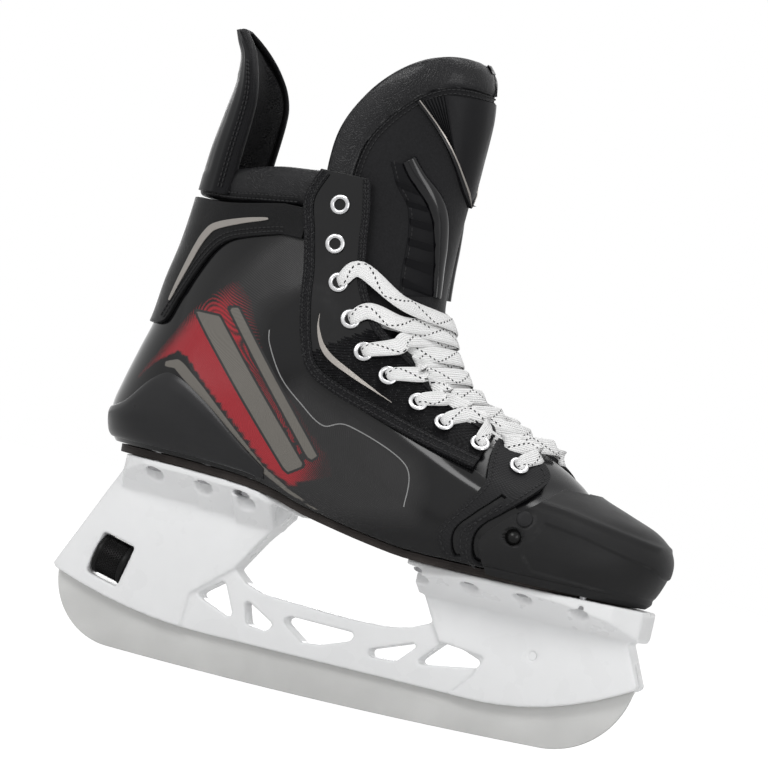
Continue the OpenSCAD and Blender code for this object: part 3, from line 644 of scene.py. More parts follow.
charcoalArea = [(-104, 150), (-90, 186), (-74, 208), (-62, 222), (-52, 214), (-52, 196), (-68, 180),
                (-70, 162), (-60, 148), (-48, 141), (-38, 148), (-20, 141), (2, 133), (24, 124),
                (30, 112), (30, 98), (-16, 88), (-50, 98), (-80, 124)]


def farFrom(line, p):
    # least distance from the points p, an array, to a line
    best = np.full(len(p), 1e9)
    for a, b in zip(line, line[1:]):
        a, b = np.array(a, float), np.array(b, float)
        t = np.clip(((p - a) @ (b - a)) / ((b - a) @ (b - a)), 0, 1)
        best = np.minimum(best, np.linalg.norm(p - a - t[:, None] * (b - a), axis=1))
    return best


def insideOf(area, p):
    # distance inside a closed outline, negative outside it
    closed = list(area) + [area[0]]
    odd = np.zeros(len(p), bool)
    for (x0, z0), (x1, z1) in zip(closed, closed[1:]):
        cut = (z0 > p[:, 1]) != (z1 > p[:, 1])
        odd ^= cut & (p[:, 0] < (x1 - x0) * (p[:, 1] - z0) / ((z1 - z0) or 1e-9) + x0)
    return np.where(odd, 1, -1) * farFrom(closed, p)


def paintAttribute(obj, name, values):
    data = obj.data.attributes.new(name, "FLOAT", "POINT").data
    data.foreach_set("value", np.asarray(values, dtype=np.float32))


def flatPlaces(obj):
    # each vertex's place in X and Z, in mm
    co = np.empty(len(obj.data.vertices) * 3, np.float32)
    obj.data.vertices.foreach_get("co", co)
    return co.reshape(-1, 3)[:, [0, 2]].astype(float) * 1000


def quarterMaterial():
    look = quarterLook
    mat, tree, bsdf = newMaterial("quarterGloss", 0.3, Coat_Weight=0.5, Coat_Roughness=0.12)
    xyz, uv = objectCoords(tree), uvCoords(tree)
    attr = lambda name: node(tree, "Attribute", {}, attribute_name=name).outputs["Fac"]
    parts = node(tree, "SeparateXYZ", {0: uv})
    cell = 2 * math.pi / look["dot"]
    waves = [calc(tree, "COSINE", calc(tree, "MULTIPLY", parts.outputs[k], cell)) for k in (0, 1)]
    screen = calc(tree, "MULTIPLY_ADD", calc(tree, "MULTIPLY", waves[0], waves[1]), 0.5, 0.5)
    noise = node(tree, "TexNoise", {"Vector": xyz, "Scale": 70, "Detail": 3}).outputs[0]
    base = mixColor(tree, ramp(tree, attr("charcoal"), -7, 5, 0, 1), rgb(look["black"]),
                    rgb(look["charcoal"]))
    base = mixColor(tree, calc(tree, "MULTIPLY", noise, 0.35), base, rgb(look["black"]))
    redOn = ramp(tree, calc(tree, "SUBTRACT", attr("red"), screen), -0.12, 0.12, 0, 1)
    red = mixColor(tree, screen, rgb(look["red"], 1.15), rgb(look["red"], 0.8))
    base = mixColor(tree, redOn, base, red)
    base = mixColor(tree, ramp(tree, attr("stripe"), -0.2, 0.2, 0, 1), base, rgb(look["stripe"]))
    base = mixColor(tree, ramp(tree, attr("bars"), -1.3, -1.1, 0, 1), base, rgb(look["charcoal"]))
    base = mixColor(tree, ramp(tree, attr("bars"), -0.2, 0.2, 0, 1), base, rgb(look["stripe"]))
    tree.links.new(base, bsdf.inputs["Base Color"])
    diagonal = calc(tree, "ADD", parts.outputs[0], parts.outputs[1])
    ribs = calc(tree, "MULTIPLY", calc(tree, "SINE", calc(tree, "MULTIPLY", diagonal, 6.5)),
                ramp(tree, attr("charcoal"), -5, 5, 0.0, 1))
    bump = node(tree, "Bump", {"Height": calc(tree, "MULTIPLY_ADD", noise, 0.5, ribs), "Distance": 0.00003})
    tree.links.new(bump.outputs[0], bsdf.inputs["Normal"])
    tree.links.new(ramp(tree, attr("charcoal"), -6, 6, 0.16, 0.42), bsdf.inputs["Roughness"])
    return mat


def quarter():
    look = quarterLook
    grid = heelGrid(95, 84, lambda x: soleZ(x) + 4.3, lambda x: 226, lambda z: spl(quarterEnd, z))
    obj = slab("quarter", grid, -1, -look["thick"], 0, quarterMaterial(), rim=0.8)
    p = flatPlaces(obj)
    area = redLow + redFront[::-1] + redBack[::-1]
    inside = insideOf(area, p)
    fade = np.minimum(farFrom(redBack, p) / np.interp(p[:, 0], [-122, -100, -88], [9, 9, 16]),
                      farFrom(redFront, p) / 26)
    fade = np.minimum(fade, np.clip((-20 - p[:, 0]) / 22, 0, 1))
    edge = np.clip(farFrom(redLow, p) / 0.8, 0, 1)
    paintAttribute(obj, "red", np.where(inside > 0, np.clip(fade * 1.15, 0, 1.2) * edge, -0.3))
    width = np.interp(p[:, 0], [-112, -104, -60, -18], [1.5, 2.6, 1.7, 0.4])
    paintAttribute(obj, "stripe", width - farFrom(stripeLine, p))
    paintAttribute(obj, "bars", np.maximum(insideOf(barWide, p), insideOf(barThin, p)))
    paintAttribute(obj, "charcoal", insideOf(charcoalArea, p))
    piece(obj, rootBody, "quarter_composite", "quarter_shell")
    for side in (-1, 1):
        line = lineOf(trimLine, 90)
        rows = [[onSkin(p[0], p[1], side) for p in shifted(line, w)] for w in (-0.28, 0, 0.28)]
        trim = slab("quarterLine" + endName(side), rows, outward(rows), -0.3, 0.14,
                    plastic("lineGrey" + endName(side), look["line"], 0.35), rim=0.08, rimSteps=1)
        piece(trim, rootBody, "quarter_composite")


quarter()
print("quarter made")

# ---------- lining, footbed and sole ----------
liningLook = {"color": (0.045, 0.045, 0.05), "low": 6, "high": 226, "inner": -7.4, "outer": -3.6, "rim": 1.2}


def lining():
    look = liningLook
    grid = heelGrid(40, 30, lambda x: soleZ(x) + look["low"], lambda x: look["high"],
                    lambda z: spl(quarterEnd, z) - 3)
    obj = slab("lining", grid, -1, look["inner"], look["outer"], felt("liningFelt", look["color"]),
               rim=look["rim"])
    piece(obj, rootBody, "liner_felt", "liner")


lining()


def board(name, z0, z1, in0, in1, atHeight, n, material, rim, crown=0.0):
    # a sole-shaped board from z0 to z1 over the sole line, inset by in0 below and in1 above from the
    # skin at atHeight
    x0 = spl(backLine, soleZ(-130) + atHeight)
    x1 = spl(frontLine, soleZ(130) + atHeight)
    rows = []
    for k in range(n + 1):
        share = (1 - math.cos(math.pi * k / n)) / 2
        row = []
        for z, inset in ((z0, in0), (z1, in1)):
            x = x0 + inset + (x1 - x0 - 2 * inset) * share
            w = max(0.6, half(x, soleZ(x) + atHeight) - inset)
            for t in (steps(-1, 1, 8) if z == z1 else steps(1, -1, 8)):
                rise = crown * t * t if z == z1 else 0
                row.append(Vector((x, t * w + centreY(x), soleZ(x) + z + rise)))
        rows.append(row)
    return roundEdges(loft(name, rows, material), rim, harden=False)


def soleMaterial():
    mat, tree, bsdf = newMaterial("soleLayers", 0.5)
    xyz = objectCoords(tree)
    layers = node(tree, "TexWave", {"Vector": xyz, "Scale": 260, "Distortion": 1.2, "Detail": 2},
                  bands_direction="Z").outputs[0]
    surface(tree, bsdf, (0.036, 0.031, 0.029), 0.25, 0.4, 0.6, layers, 0.00008, xyz, patch=120)
    return mat


footbed = board("footbed", 6.7, 9.8, 13.6, 13.6, 10, 40, felt("footbedFelt", (0.10, 0.02, 0.025)), 1.0, 1.2)
piece(footbed, rootBody, "insole_foam", "insole")
outsole = board("outsole", 0, 3.8, 1.6, 0.9, 1.2, 60, soleMaterial(), 0.7)
piece(outsole, rootBody, "outsole_board", "outsole")
print("lining and sole made")

# ---------- heel counter, ankle brace and its trim ----------
counterLook = {"color": (0.015, 0.015, 0.016), "rough": 0.31, "edge": 0.6, "lift": 1.6, "front": -50}
counterTop = [[-143, 116], [-130, 121], [-118, 134], [-108, 139], [-88, 130], [-66, 115], [-48, 103]]


def heelCounter():
    look = counterLook

    def crown(p, u, v):
        edge = min(v, 1 - v, u * 3, (1 - u) * 3)
        return look["edge"] + (look["lift"] - look["edge"]) * min(1, edge * 5) ** 0.5
    grid = heelGrid(50, 24, lambda x: soleZ(x) + 6.8, lambda x: spl(counterTop, x),
                    lambda z: look["front"])
    satin = plastic("counterSatin", look["color"], look["rough"], Coat_Weight=0.2, Coat_Roughness=0.2)
    obj = slab("heelCounter", grid, -1, 0.1, crown, satin, rim=0.4)
    piece(obj, rootBody, "counter_plastic", "heel_counter")


ankleEnd = -56.5  # the front end of the brace and the collar
braceLow = [[-132, 161], [-120, 163], [-116, 173], [-110, 187], [-103, 200], [-96, 207], [-86, 211],
            [-68, 216]]
braceTop = [[-124, 226], [-100, 226], [-70, 231]]
braceTrim = [(-120, 173), (-116, 188), (-112, 201), (-108, 209), (-103, 213.5), (-89, 218.5), (-76, 222)]


def ankleBrace():
    grid = heelGrid(60, 26, lambda x: spl(braceLow, x), lambda x: spl(braceTop, x), lambda z: ankleEnd)
    mat = leather("braceLeather", (0.007, 0.007, 0.0075), 0.36, grain=1100, depth=0.00006, Coat_Weight=0.15)
    obj = slab("ankleBrace", grid, -1, 0.1, 2.1, mat, rim=0.7)
    piece(obj, rootBody, "brace_leather", "ankle_brace")
    lowEdge = [(x, spl(braceLow, x)) for x in steps(-119.5, -66, 12)]
    for side in (-1, 1):
        for shift in (1.6, 3.6):
            threadPlaces["thread"] += sewOnSkin(lowEdge, side, 2.25, 2.3, shift)
        line = lineOf(braceTrim, 30)
        widths = [0.5 + 1.5 * math.sin(math.pi * t) ** 0.7 for t in steps(0, 1, 30)]
        rows = []
        for k, p in enumerate(line):
            low, high = shifted(line, -widths[k])[k], shifted(line, widths[k])[k]
            rows.append([onSkin(*(low + (high - low) * u), side) for u in steps(0, 1, 3)])
        trim = slab("braceTrim" + endName(side), rows, -side, 1.9, 2.7, trimSilver, rim=0.3)
        piece(trim, rootBody, "brace_leather")


trimSilver = plastic("trimSilver", (0.30, 0.28, 0.26), 0.28, Metallic=0.6, Coat_Weight=0.4)
heelCounter()
ankleBrace()
print("heel and ankle made")

# ---------- collar: the padded roll round the ankle ----------
collarTop = [[-124, 236], [-100, 244], [-78, 249], [-58, 251]]
collarLook = {"color": (0.009, 0.009, 0.010), "outer": 0.9, "inner": -8.6, "low": 226.6, "ring": 18,
              "around": 70, "fill": 0.8, "seams": (2.0, 4.2)}


def collarRise(x):
    return max(0, (x + 100) * 0.12)


def collar():
    look = collarLook
    middle, reach = (look["outer"] + look["inner"]) / 2, (look["outer"] - look["inner"]) / 2
    fat = lambda q, power: math.copysign(abs(q) ** power, q)
    rings = []
    for i in range(-look["around"], look["around"] + 1):
        a, side = abs(i) / look["around"], (1 if i >= 0 else -1)
        xb = spl(backLine, 232)
        x = xb + (ankleEnd - xb) * roundShare(a, 140)
        low = look["low"] + collarRise(x)
        high = spl(collarTop, x) - 0.4
        ring = []
        for k in range(look["ring"]):
            t = 2 * math.pi * k / look["ring"]
            c, s = math.cos(t), math.sin(t)
            z = (low + high) / 2 + (high - low) / 2 * fat(s, 0.75)
            out = middle + reach * fat(c, 0.7)
            base = Vector((x, 0, z)) if i == 0 else onSkin(x, z, side)
            n = Vector((-1, 0, 0)) if i == 0 else skinOut(x, z, side)
            n.z = 0
            ring.append(base + n.normalized() * out)
        rings.append(ring)
    obj = loft("collar", rings, leather("collarLeather", look["color"], 0.3, grain=1000, depth=0.00008))
    obj.data.flip_normals()
    sub = obj.modifiers.new("round", "SUBSURF")
    sub.levels = sub.render_levels = 1
    piece(obj, rootBody, "collar_leather", "collar")
    for side in (-1, 1):
        for lift in look["seams"]:
            line = [(x, look["low"] + lift + collarRise(x)) for x in steps(-119, -64, 10)]
            threadPlaces["thread"] += sewOnSkin(line, side, 1.0, 2.3)


# ---------- tendon guard ----------
guardBack = [[228, -126], [250, -124.5], [270, -121.5], [287, -119], [298, -120], [305, -124], [311, -127]]
guardEdge = [[228, -104], [250, -102.5], [275, -101], [285, -103], [293, -107], [300, -112], [306, -118],
             [311, -124]]
guardHalf = [[228, 28], [275, 28.5], [286, 26.5], [295, 21], [302, 14], [307, 8.5], [311, 3]]
guardLook = {"color": (0.008, 0.008, 0.009), "turn": 84, "padTurn": 79, "thick": 2.0, "ridge": 0.5,
             "recess": 0.35, "fill": 0.5, "seams": (77, 72.5)}


def guardPoint(a, z):
    # a is the angle round the leg in degrees, 0 at the back
    xb, xe, turn = spl(guardBack, z), spl(guardEdge, z), guardLook["turn"]
    x = xb + (xe - xb) * roundShare(abs(a) / turn, turn)
    return Vector((x, spl(guardHalf, z) * math.sin(math.radians(a)), z))


def tendonGuard():
    look = guardLook
    turn, padTurn, skin = look["turn"], look["padTurn"], -0.3
    zs = steps(229.5, 303, 36) + [305, 306.7, 308.2, 309.5, 310.4]
    grid = [[guardPoint(a, z) for z in zs] for a in steps(-turn, turn, 48)]

    def outside(p, u, v):
        away = abs(u - 0.5) * 2
        ridge = look["ridge"] * math.exp(-((away - 0.80) / 0.05) ** 2)
        return skin + ridge - (look["recess"] if 0.55 > away > 0.2 and 0.12 < v < 0.7 else 0)
    shell = slab("tendonGuard", grid, -1, skin - look["thick"], outside,
                 plastic("guardSatin", look["color"], 0.34, grain=1800, depth=0.00003), rim=0.8)
    piece(shell, "tendon_guard", "guard_plastic", "tendon_guard")
    grid = [[guardPoint(a, z) for z in zs[2:-1]] for a in steps(-padTurn, padTurn, 40)]
    pad = slab("tendonGuardPad", grid, -1,
               lambda p, u, v: -4.4 - 0.9 * min(1, 6 * min(u, 1 - u, v, 1 - v)) ** 0.5, -2.4,
               leather("guardLining", look["color"], 0.3, grain=800, depth=0.0001), rim=0.8)
    piece(pad, "tendon_guard", "guard_plastic")
    rim = [guardPoint(-turn, z) for z in zs] + [guardPoint(turn, z) for z in zs[::-1]]
    cord = piping("tendonGuardPiping", rim, -95, 2.3, 1.3,
                  leather("pipingLeather", softBlack, 0.45, grain=1400), 2.2)
    piece(cord, "tendon_guard", "guard_plastic")
    for side in (-1, 1):
        for a in look["seams"]:
            line = [guardPoint(side * a, z) for z in steps(232, 296, 40)]
            normals = [Vector((p.x + 100, p.y * 2, 0)).normalized() for p in line]
            line = [p + n * 0.35 for p, n in zip(line, normals)]
            threadPlaces["threadGuard"] += sewLine(line, normals, 2.6)


collar()
tendonGuard()
print("collar and tendon guard made")

# ---------- facings ----------
eyes = [[-42, 236], [-40, 217], [-34, 199], [-24, 183], [-14, 169], [0, 160], [17, 150.5], [32, 143.5],
        [51, 137.5], [71, 131]]
facingBack = [[-55, 251], [-60, 236], [-56, 219], [-52, 203], [-49, 186], [-44, 168], [-37, 155],
              [-22, 147], [2, 139.5], [28, 132], [53, 126]]
facingFront = [[-31, 251], [-28, 236], [-26, 219], [-22, 201], [-10, 182], [7, 171], [20, 160], [34, 153],
               [44, 149], [52, 146], [55, 142]]
patentBlack = plastic("patentBlack", (0.004, 0.004, 0.0045), 0.16, grain=60, depth=0.0003, Coat_Weight=0.6,
                      Coat_Roughness=0.1)


def wovenRibs():
    mat, tree, bsdf = newMaterial("wovenRibs", 0.5)
    parts = node(tree, "SeparateXYZ", {0: uvCoords(tree)})
    rib, bead = sineOf(tree, parts.outputs[1], 1.5), sineOf(tree, parts.outputs[0], 0.9)
    height = calc(tree, "MULTIPLY_ADD", calc(tree, "MULTIPLY", rib, bead), 0.35, rib)
    surface(tree, bsdf, (0.008, 0.008, 0.009), 0.3, 0.3, 0.5, height, 0.00035, objectCoords(tree),
            patch=300)
    glint = node(tree, "TexVoronoi", {"Vector": objectCoords(tree), "Scale": 1100}).outputs["Distance"]
    overlay(tree, bsdf, ramp(tree, glint, 0.08, 0.2, 0.8, 0), (0.16, 0.16, 0.16, 1))
    return mat


def bindingMaterial():
    mat, tree, bsdf = newMaterial("bindingTape", 0.4)
    xyz = objectCoords(tree)
    speck = node(tree, "TexVoronoi", {"Vector": xyz, "Scale": 1300}).outputs["Distance"]
    height = weaveHeight(tree, uvCoords(tree), 0.8, 0.8)
    surface(tree, bsdf, (0.009, 0.009, 0.010), 0.3, 0.3, 0.5, height, 0.0003, xyz, patch=500)
    overlay(tree, bsdf, ramp(tree, speck, 0.08, 0.2, 0.7, 0), (0.2, 0.2, 0.2, 1))
    return mat


ribsCloth, bindingTape = wovenRibs(), bindingMaterial()


def facing(side):
    end = endName(side)
    grid = between(lineOf(facingBack, 110), lineOf(facingFront, 110), side, steps(0, 1, 22))
    obj = slab("facing" + end, grid, side, 0.5, 2.5, patentBlack, rim=0.5)
    obj.data.materials.append(ribsCloth)
    for poly in obj.data.polygons:
        x, z = poly.center.x * 1000, poly.center.z * 1000
        poly.material_index = 1 if z < 168 + (x + 32) * 0.68 else 0
    piece(obj, rootBody, "facing_leather", "facing_" + end.lower())
    back, front = lineOf(facingBack, 120), lineOf(facingFront, 120)
    inBack = shifted(back, 5.2)
    strips = [("facingTape" + end, back, inBack, bindingTape, 0.95),
              ("facingRim" + end, shifted(front, -3.4), shifted(front, 0.3), bindingTape, 0.75)]
    for name, a, b, mat, lift in strips:
        strip = slab(name, between(a, b, side, steps(0, 1, 4)), side, 2.3, 2.4 + lift, mat, rim=0.35)
        piece(strip, rootBody, "facing_leather")
        threadPlaces["thread"] += sewOnSkin(a, side, 2.5 + lift, 2.4, 1.3, 200)
        threadPlaces["thread"] += sewOnSkin(b, side, 2.5 + lift, 2.4, -1.2, 200)
    crescent = [(-44, 182), (-43, 174), (-38.5, 164), (-31, 157), (-18, 151), (-6, 146.5), (4, 142.5)]
    line = lineOf(crescent, 40)
    rows = []
    for k, p in enumerate(line):
        w = 0.25 + 2.5 * math.sin(math.pi * min(1, k / 40 * 1.02)) ** 1.6
        a, b = shifted(line, 5.6)[k], shifted(line, 5.6 + w)[k]
        rows.append([onSkin(*(a + (b - a) * u), side) for u in steps(0, 1, 4)])
    trim = slab("facingTrim" + end, rows, -side, 2.4, 3.1, trimSilver, rim=0.25)
    piece(trim, rootBody, "facing_leather")


for side in (-1, 1):
    facing(side)
print("facings made")

# ---------- toe strap, toe box and toe cap ----------
strapBack = [[57, 143.5], [57, 138], [59, 129], [61, 120], [54, 109], [47, 99], [45, 93], [49, 86],
             [53, 84.5]]
strapFront = [[68, 140.5], [78, 136], [85, 129], [83, 120], [75, 111], [66, 103], [62.5, 96], [64, 87],
              [69, 84.5]]
slotBack = [[62, 142], [65, 137], [70, 129], [72, 120], [60, 106.5], [53.5, 99], [52.3, 93], [54.5, 86.5],
            [59, 84.5]]
slotFront = [[63, 142], [68, 137], [73, 129], [74.6, 119], [63.5, 106], [57.2, 99.5], [55.8, 94],
             [58, 87.5], [63, 84.5]]
strapCloth = woven("strapCloth", (0.019, 0.019, 0.020), 0.9, 0.9, 0.55, 0.00018, 0.35)


def toeStrap(side):
    end = endName(side)
    edges = [strapBack, slotBack, slotFront, strapFront]
    spans = [6, 3, 6]
    rows = []
    for k, n in enumerate(spans):
        shares = steps(0, 1, n)[:n + (k == 2)]
        rows += between(lineOf(edges[k], 80), lineOf(edges[k + 1], 80), side, shares)
    gap = lambda i, j: 6 <= i < 9 and 0.39 < j / 80 < 0.90
    obj = slab("toeStrap" + end, rows, side, 0.5, 2.7, strapCloth, rim=0.7, gap=gap)
    piece(obj, rootBody, "strap_fabric", "toe_strap_" + end.lower())
    for edge, shift, span in ((strapBack, 2.0, (0.03, 0.97)), (strapFront, -2.0, (0.03, 0.97))):
        threadPlaces["thread"] += sewOnSkin(edge, side, 2.8, 2.9, shift, 100, span)
    threadPlaces["thread"] += sewOnSkin(slotFront, side, 2.8, 2.9, 1.6, 60, (0.42, 0.9))
    slot = [lineOf(e, 40, 0.36, 0.92) for e in (slotBack, slotFront)]
    inlay = between(*slot, side, steps(-0.6, 1.6, 6))
    made = slab("toeStrapInlay" + end, inlay, side, 0.4, 0.9, patentBlack, rim=0.2)
    piece(made, rootBody, "strap_fabric")


def toeBox():
    # the glossy vamp between the straps, under the lace's first bar
    zs = steps(103, 143.5, 36)
    edge = [[103, 80], [110, 74], [118, 64], [126, 52], [134, 40], [140, 34], [144, 34]]
    grid = frontGrid(30, zs, lambda z: spl(edge, z))
    gloss = plastic("toeBoxGloss", (0.006, 0.006, 0.007), 0.24, grain=60, depth=0.0002, Coat_Weight=0.3,
                    Coat_Roughness=0.2)
    obj = slab("toeBox", grid, 1, -3.0, -1.3, gloss, rim=0.6)
    piece(obj, rootBody, "quarter_composite")


capEnd = [[80, 72], [88, 68], [94, 66], [100, 69], [111, 80], [117, 88], [125, 93]]
capPanel = [(92.5, 109.5), (112, 106.5), (140, 100), (150, 90), (146, 84), (120, 85.5), (92, 87),
            (86.5, 93), (88.5, 99)]
capRidge = [(83, 117.5), (100, 115.5), (119, 112), (140, 108)]
plugPlaces = [(84, 109), (81, 100)]


def toeCap():
    zs = steps(81.4, 125, 96)
    grid = frontGrid(84, zs, lambda z: spl(capEnd, z))
    flat = np.array([[p.x, p.z] for row in grid for p in row])
    panel, ridge = insideOf(capPanel, flat), farFrom(capRidge, flat)
    hem = farFrom([(70, 84.6), (150, 84.6)], flat)
    rise = (2.6 - 1.0 * np.clip(panel / 0.8, 0, 1) + 0.8 * np.exp(-(ridge / 1.2) ** 2)
            - 0.7 * np.exp(-(hem / 0.6) ** 2))
    for q, deep in zip(plugPlaces, (0.7, 1.5)):
        away = np.linalg.norm(flat - np.array(q), axis=1)
        rise = rise - deep * np.clip((4.5 - away) / 0.5, 0, 1) * np.clip(rise - 0.9, 0, 1)
    nv = len(zs)
    heights = rise.reshape(-1, nv)
    nu = heights.shape[0] - 1
    outer = lambda p, u, v: float(heights[round(u * nu)][round(v * (nv - 1))])
    mat = plastic("capMatte", (0.019, 0.019, 0.0195), 0.4, grain=2600, depth=0.00009)
    obj = slab("toeCap", grid, 1, 0.5, outer, mat, rim=0.9)
    piece(obj, rootBody, "cap_plastic", "toe_cap")


def toePlugs():
    for k, (x, z) in enumerate(plugPlaces):
        for side in (-1, 1):
            centre, n = onSkin(x, z, side, 2.2), skinOut(x, z, side)
            t = n.cross(Vector((0, 0, 1))).normalized()
            b = n.cross(t)
            top = 0.35 if k == 0 else -1.2
            profile = ((3.8, -0.6), (3.8, top - 0.35), (3.45, top), (1.5, top + 0.05), (0.2, top + 0.05))
            rings = [oval(centre + n * h, t, b, r, r, 28) for r, h in profile]
            name = "toePlug%d%s" % (k + 1, endName(side))
            # painted shade: the second plug sits deeper and is coloured near-black, standing in for the dark
            # of its hole
            color, rough = ((0.02, 0.02, 0.021), 0.5) if k == 0 else ((0.004,) * 3, 0.25)
            made = loft(name, rings, plastic(name + "Rubber", color, rough))
            piece(made, rootBody, "plug_plastic", *(["toe_cap_plugs"] if k == 0 and side < 0 else []))


for side in (-1, 1):
    toeStrap(side)
toeBox()
toeCap()
toePlugs()
print("toe made")

# ---------- tongue: felt, leather top, moulded guard and inserts ----------
tongueEdge = [[120, 86], [126, 68], [132, 52], [140, 32], [148, 15], [158, -4], [170, -19], [183, -30],
              [199, -38], [217, -44], [235, -50], [253, -54], [268, -53], [278, -50], [288, -45], [298, -38],
              [309, -26], [316, -16], [320, -8]]
tongueLook = {"skin": -2.2, "thick": 8.0, "rollOuter": 2.6, "rollInner": 3.0, "fill": 0.6,
              "foldLow": 0.244, "foldHigh": 0.264}


def toNose(x, z, side, out=0.0):
    # a point on the skin, kept behind the front line; out of the skin by a distance
    xf = spl(frontLine, z)
    if x < xf - 0.6:
        return onSkin(x, z, side, out)
    s = spl(frontLine, z + 1) - spl(frontLine, z - 1)
    p = Vector((min(x, xf), centreY(xf) + side * half(min(x, xf), z), z))
    return p + Vector((2, side * 0.6 * (xf - min(x, xf)), -s)).normalized() * out


def bothSides(edgeA, edgeB, n, across):
    # rows of points between two edges, from the outer side over the nose to the inner one
    lines = [lineOf(edgeA, n), lineOf(edgeB, n)]
    outer, inner = [between(*lines, side, steps(0, 1, across), toNose) for side in (-1, 1)]
    return [a + b[-2::-1] for a, b in zip(outer, inner)]


def onTongue(obj):
    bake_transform(obj)


def tongue():
    look = tongueLook
    zs = steps(121, 312, 90) + [314, 316, 317.5, 318.6]
    grid = frontGrid(36, zs, lambda z: spl(tongueEdge, z) + 0.8)

    def roll(u, v):
        # 0 inside, 1 on the rounded rim
        soft = min(1, 7 * min(u, 1 - u), 16 * (1 - v))
        return 1 - math.sqrt(max(0, soft * (2 - soft)))
    outer = lambda p, u, v: look["skin"] - look["rollOuter"] * roll(u, v)
    inner = lambda p, u, v: look["skin"] - look["thick"] + look["rollInner"] * roll(u, v)
    cloth = felt("tongueFelt", (0.010, 0.010, 0.011), 0.7, 0.00025)
    obj = slab("tongue", grid, 1, inner, outer, cloth, rim=1.2)
    apply(obj)
    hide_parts("tongue_body", "tongue_top")
    onTongue(obj)


def tongueBand():
    outline = [(-52.5, 243), (-53.2, 256), (-52.6, 268), (-50, 278), (-45, 288), (-38, 298), (-27, 308.5),
               (-14, 316), (-3, 319), (9, 318.5)]
    inside = [(-39.5, 243), (-40, 252), (-39, 262), (-36.5, 271), (-32, 279), (-25.5, 287.5), (-17, 296),
              (-6, 302.5), (4, 304.5), (13, 304.5)]
    rows = bothSides(outline, inside, 60, 16)
    crown = lambda p, u, v: -2.0 + 1.9 * math.sqrt(max(0, math.sin(math.pi * min(1, 0.12 + u * 0.88))))
    mat = leather("tongueLeather", softBlack, 0.27, grain=900, depth=0.00006, Coat_Weight=0.2)
    band = slab("tongueBand", rows, outward(rows), -3.2, crown, mat, rim=0.4)
    onTongue(band)
    edge = [toNose(*p, -1, -4.0) for p in lineOf(outline, 70)]
    edge += [toNose(*p, 1, -4.0) for p in lineOf(outline, 70, 1, 0)][1:]
    onTongue(piping("tonguePiping", edge, -50, 2.4, 1.1,
                    leather("tonguePipingLeather", softBlack, 0.45, grain=1400)))
    for side in (-1, 1):
        for d in (0.9, 3.0):
            line = shifted(lineOf(inside, 70), -d)
            points = [toNose(p[0], p[1], side, -1.9 if d > 2 else -1.7) for p in line]
            normals = [skinOut(min(p[0], spl(frontLine, p[1]) - 1), p[1], side) for p in line]
            threadPlaces["threadTongue"] += sewLine(points, normals, 2.4)


plateEdge = [(-5.5, 299), (-1, 285), (4, 270), (8.5, 258), (11.5, 250)]


def tongueGuard():
    mat = plastic("guardPlate", (0.011, 0.011, 0.012), 0.38, grain=2200, depth=0.00006)
    corner, tip = Vector((-18, 292.5)), Vector((11.5, 249))
    for side in (-1, 1):
        end = endName(side)
        bow = Vector((3.6, 2.4))
        sideEdge = [corner + (tip - corner) * t + bow * math.sin(math.pi * t) for t in steps(0, 1, 8)]
        rows = between(lineOf(sideEdge, 30), lineOf(plateEdge, 30), side, steps(0, 1, 36), toNose)

        def ribs(p, u, v):
            wavy = abs(math.sin(math.pi * 9 * u)) ** 0.5 * min(1, 8 * u, 8 * (1 - u))
            return -1.5 + 0.95 * wavy + 0.9 * (math.exp(-(u / 0.06) ** 2) + math.exp(-((1 - u) / 0.05) ** 2))
        ribbed = slab("tongueRibs" + end, rows, outward(rows), -2.4, ribs, mat, rim=0.3)
        piece(ribbed, "tongue_top", "guard_plastic", *(["tongue_guard"] if side < 0 else []))
        rail, ridge = [[[toNose(q[0], q[1], side) for q in shifted(sideEdge, u)] for u in shifts]
                       for shifts in (steps(1.6, -0.2, 4), (0.9, 1.2, 1.5))]
        railMat = plastic("railSatin" + end, (0.008, 0.008, 0.009), 0.3)
        for name, rows, low, high, mat2 in (("tongueRail", rail, -2.3, 0.15, railMat),
                                            ("tongueRidge", ridge, -0.2, 0.45, trimSilver)):
            made = slab(name + end, rows, outward(rows), low, high, mat2, rim=0.2)
            piece(made, "tongue_top", "guard_plastic")
    rows = []
    for v in steps(0, 1, 34):
        a = along(plateEdge, v)
        left, right = [[toNose(a[0] + (spl(frontLine, a[1]) - a[0]) * w, a[1] + 2.2 * w * (1 - v), side)
                        for w in steps(0, 1, 12)] for side in (-1, 1)]
        rows.append(left + right[-2::-1])
    crown = lambda p, u, v: -0.9 + 0.5 * min(1, 6 * min(u, 1 - u), 6 * min(v, 1 - v))
    plate = slab("tonguePlate", rows, outward(rows), -2.3, crown, mat, rim=0.4)
    piece(plate, "tongue_top", "guard_plastic")


insertBack = [(-18.4, 262), (-14, 256), (-5, 247), (0, 239), (3, 228), (5, 217), (7, 203)]
insertFront = [(-13, 267), (-7, 260), (1.5, 252), (6, 243), (8, 230), (8.6, 217), (9.6, 203)]
louvreBack = [(-24, 262), (-19, 252), (-12, 243), (-9, 233), (-8, 222), (-7.5, 211), (-6, 200)]


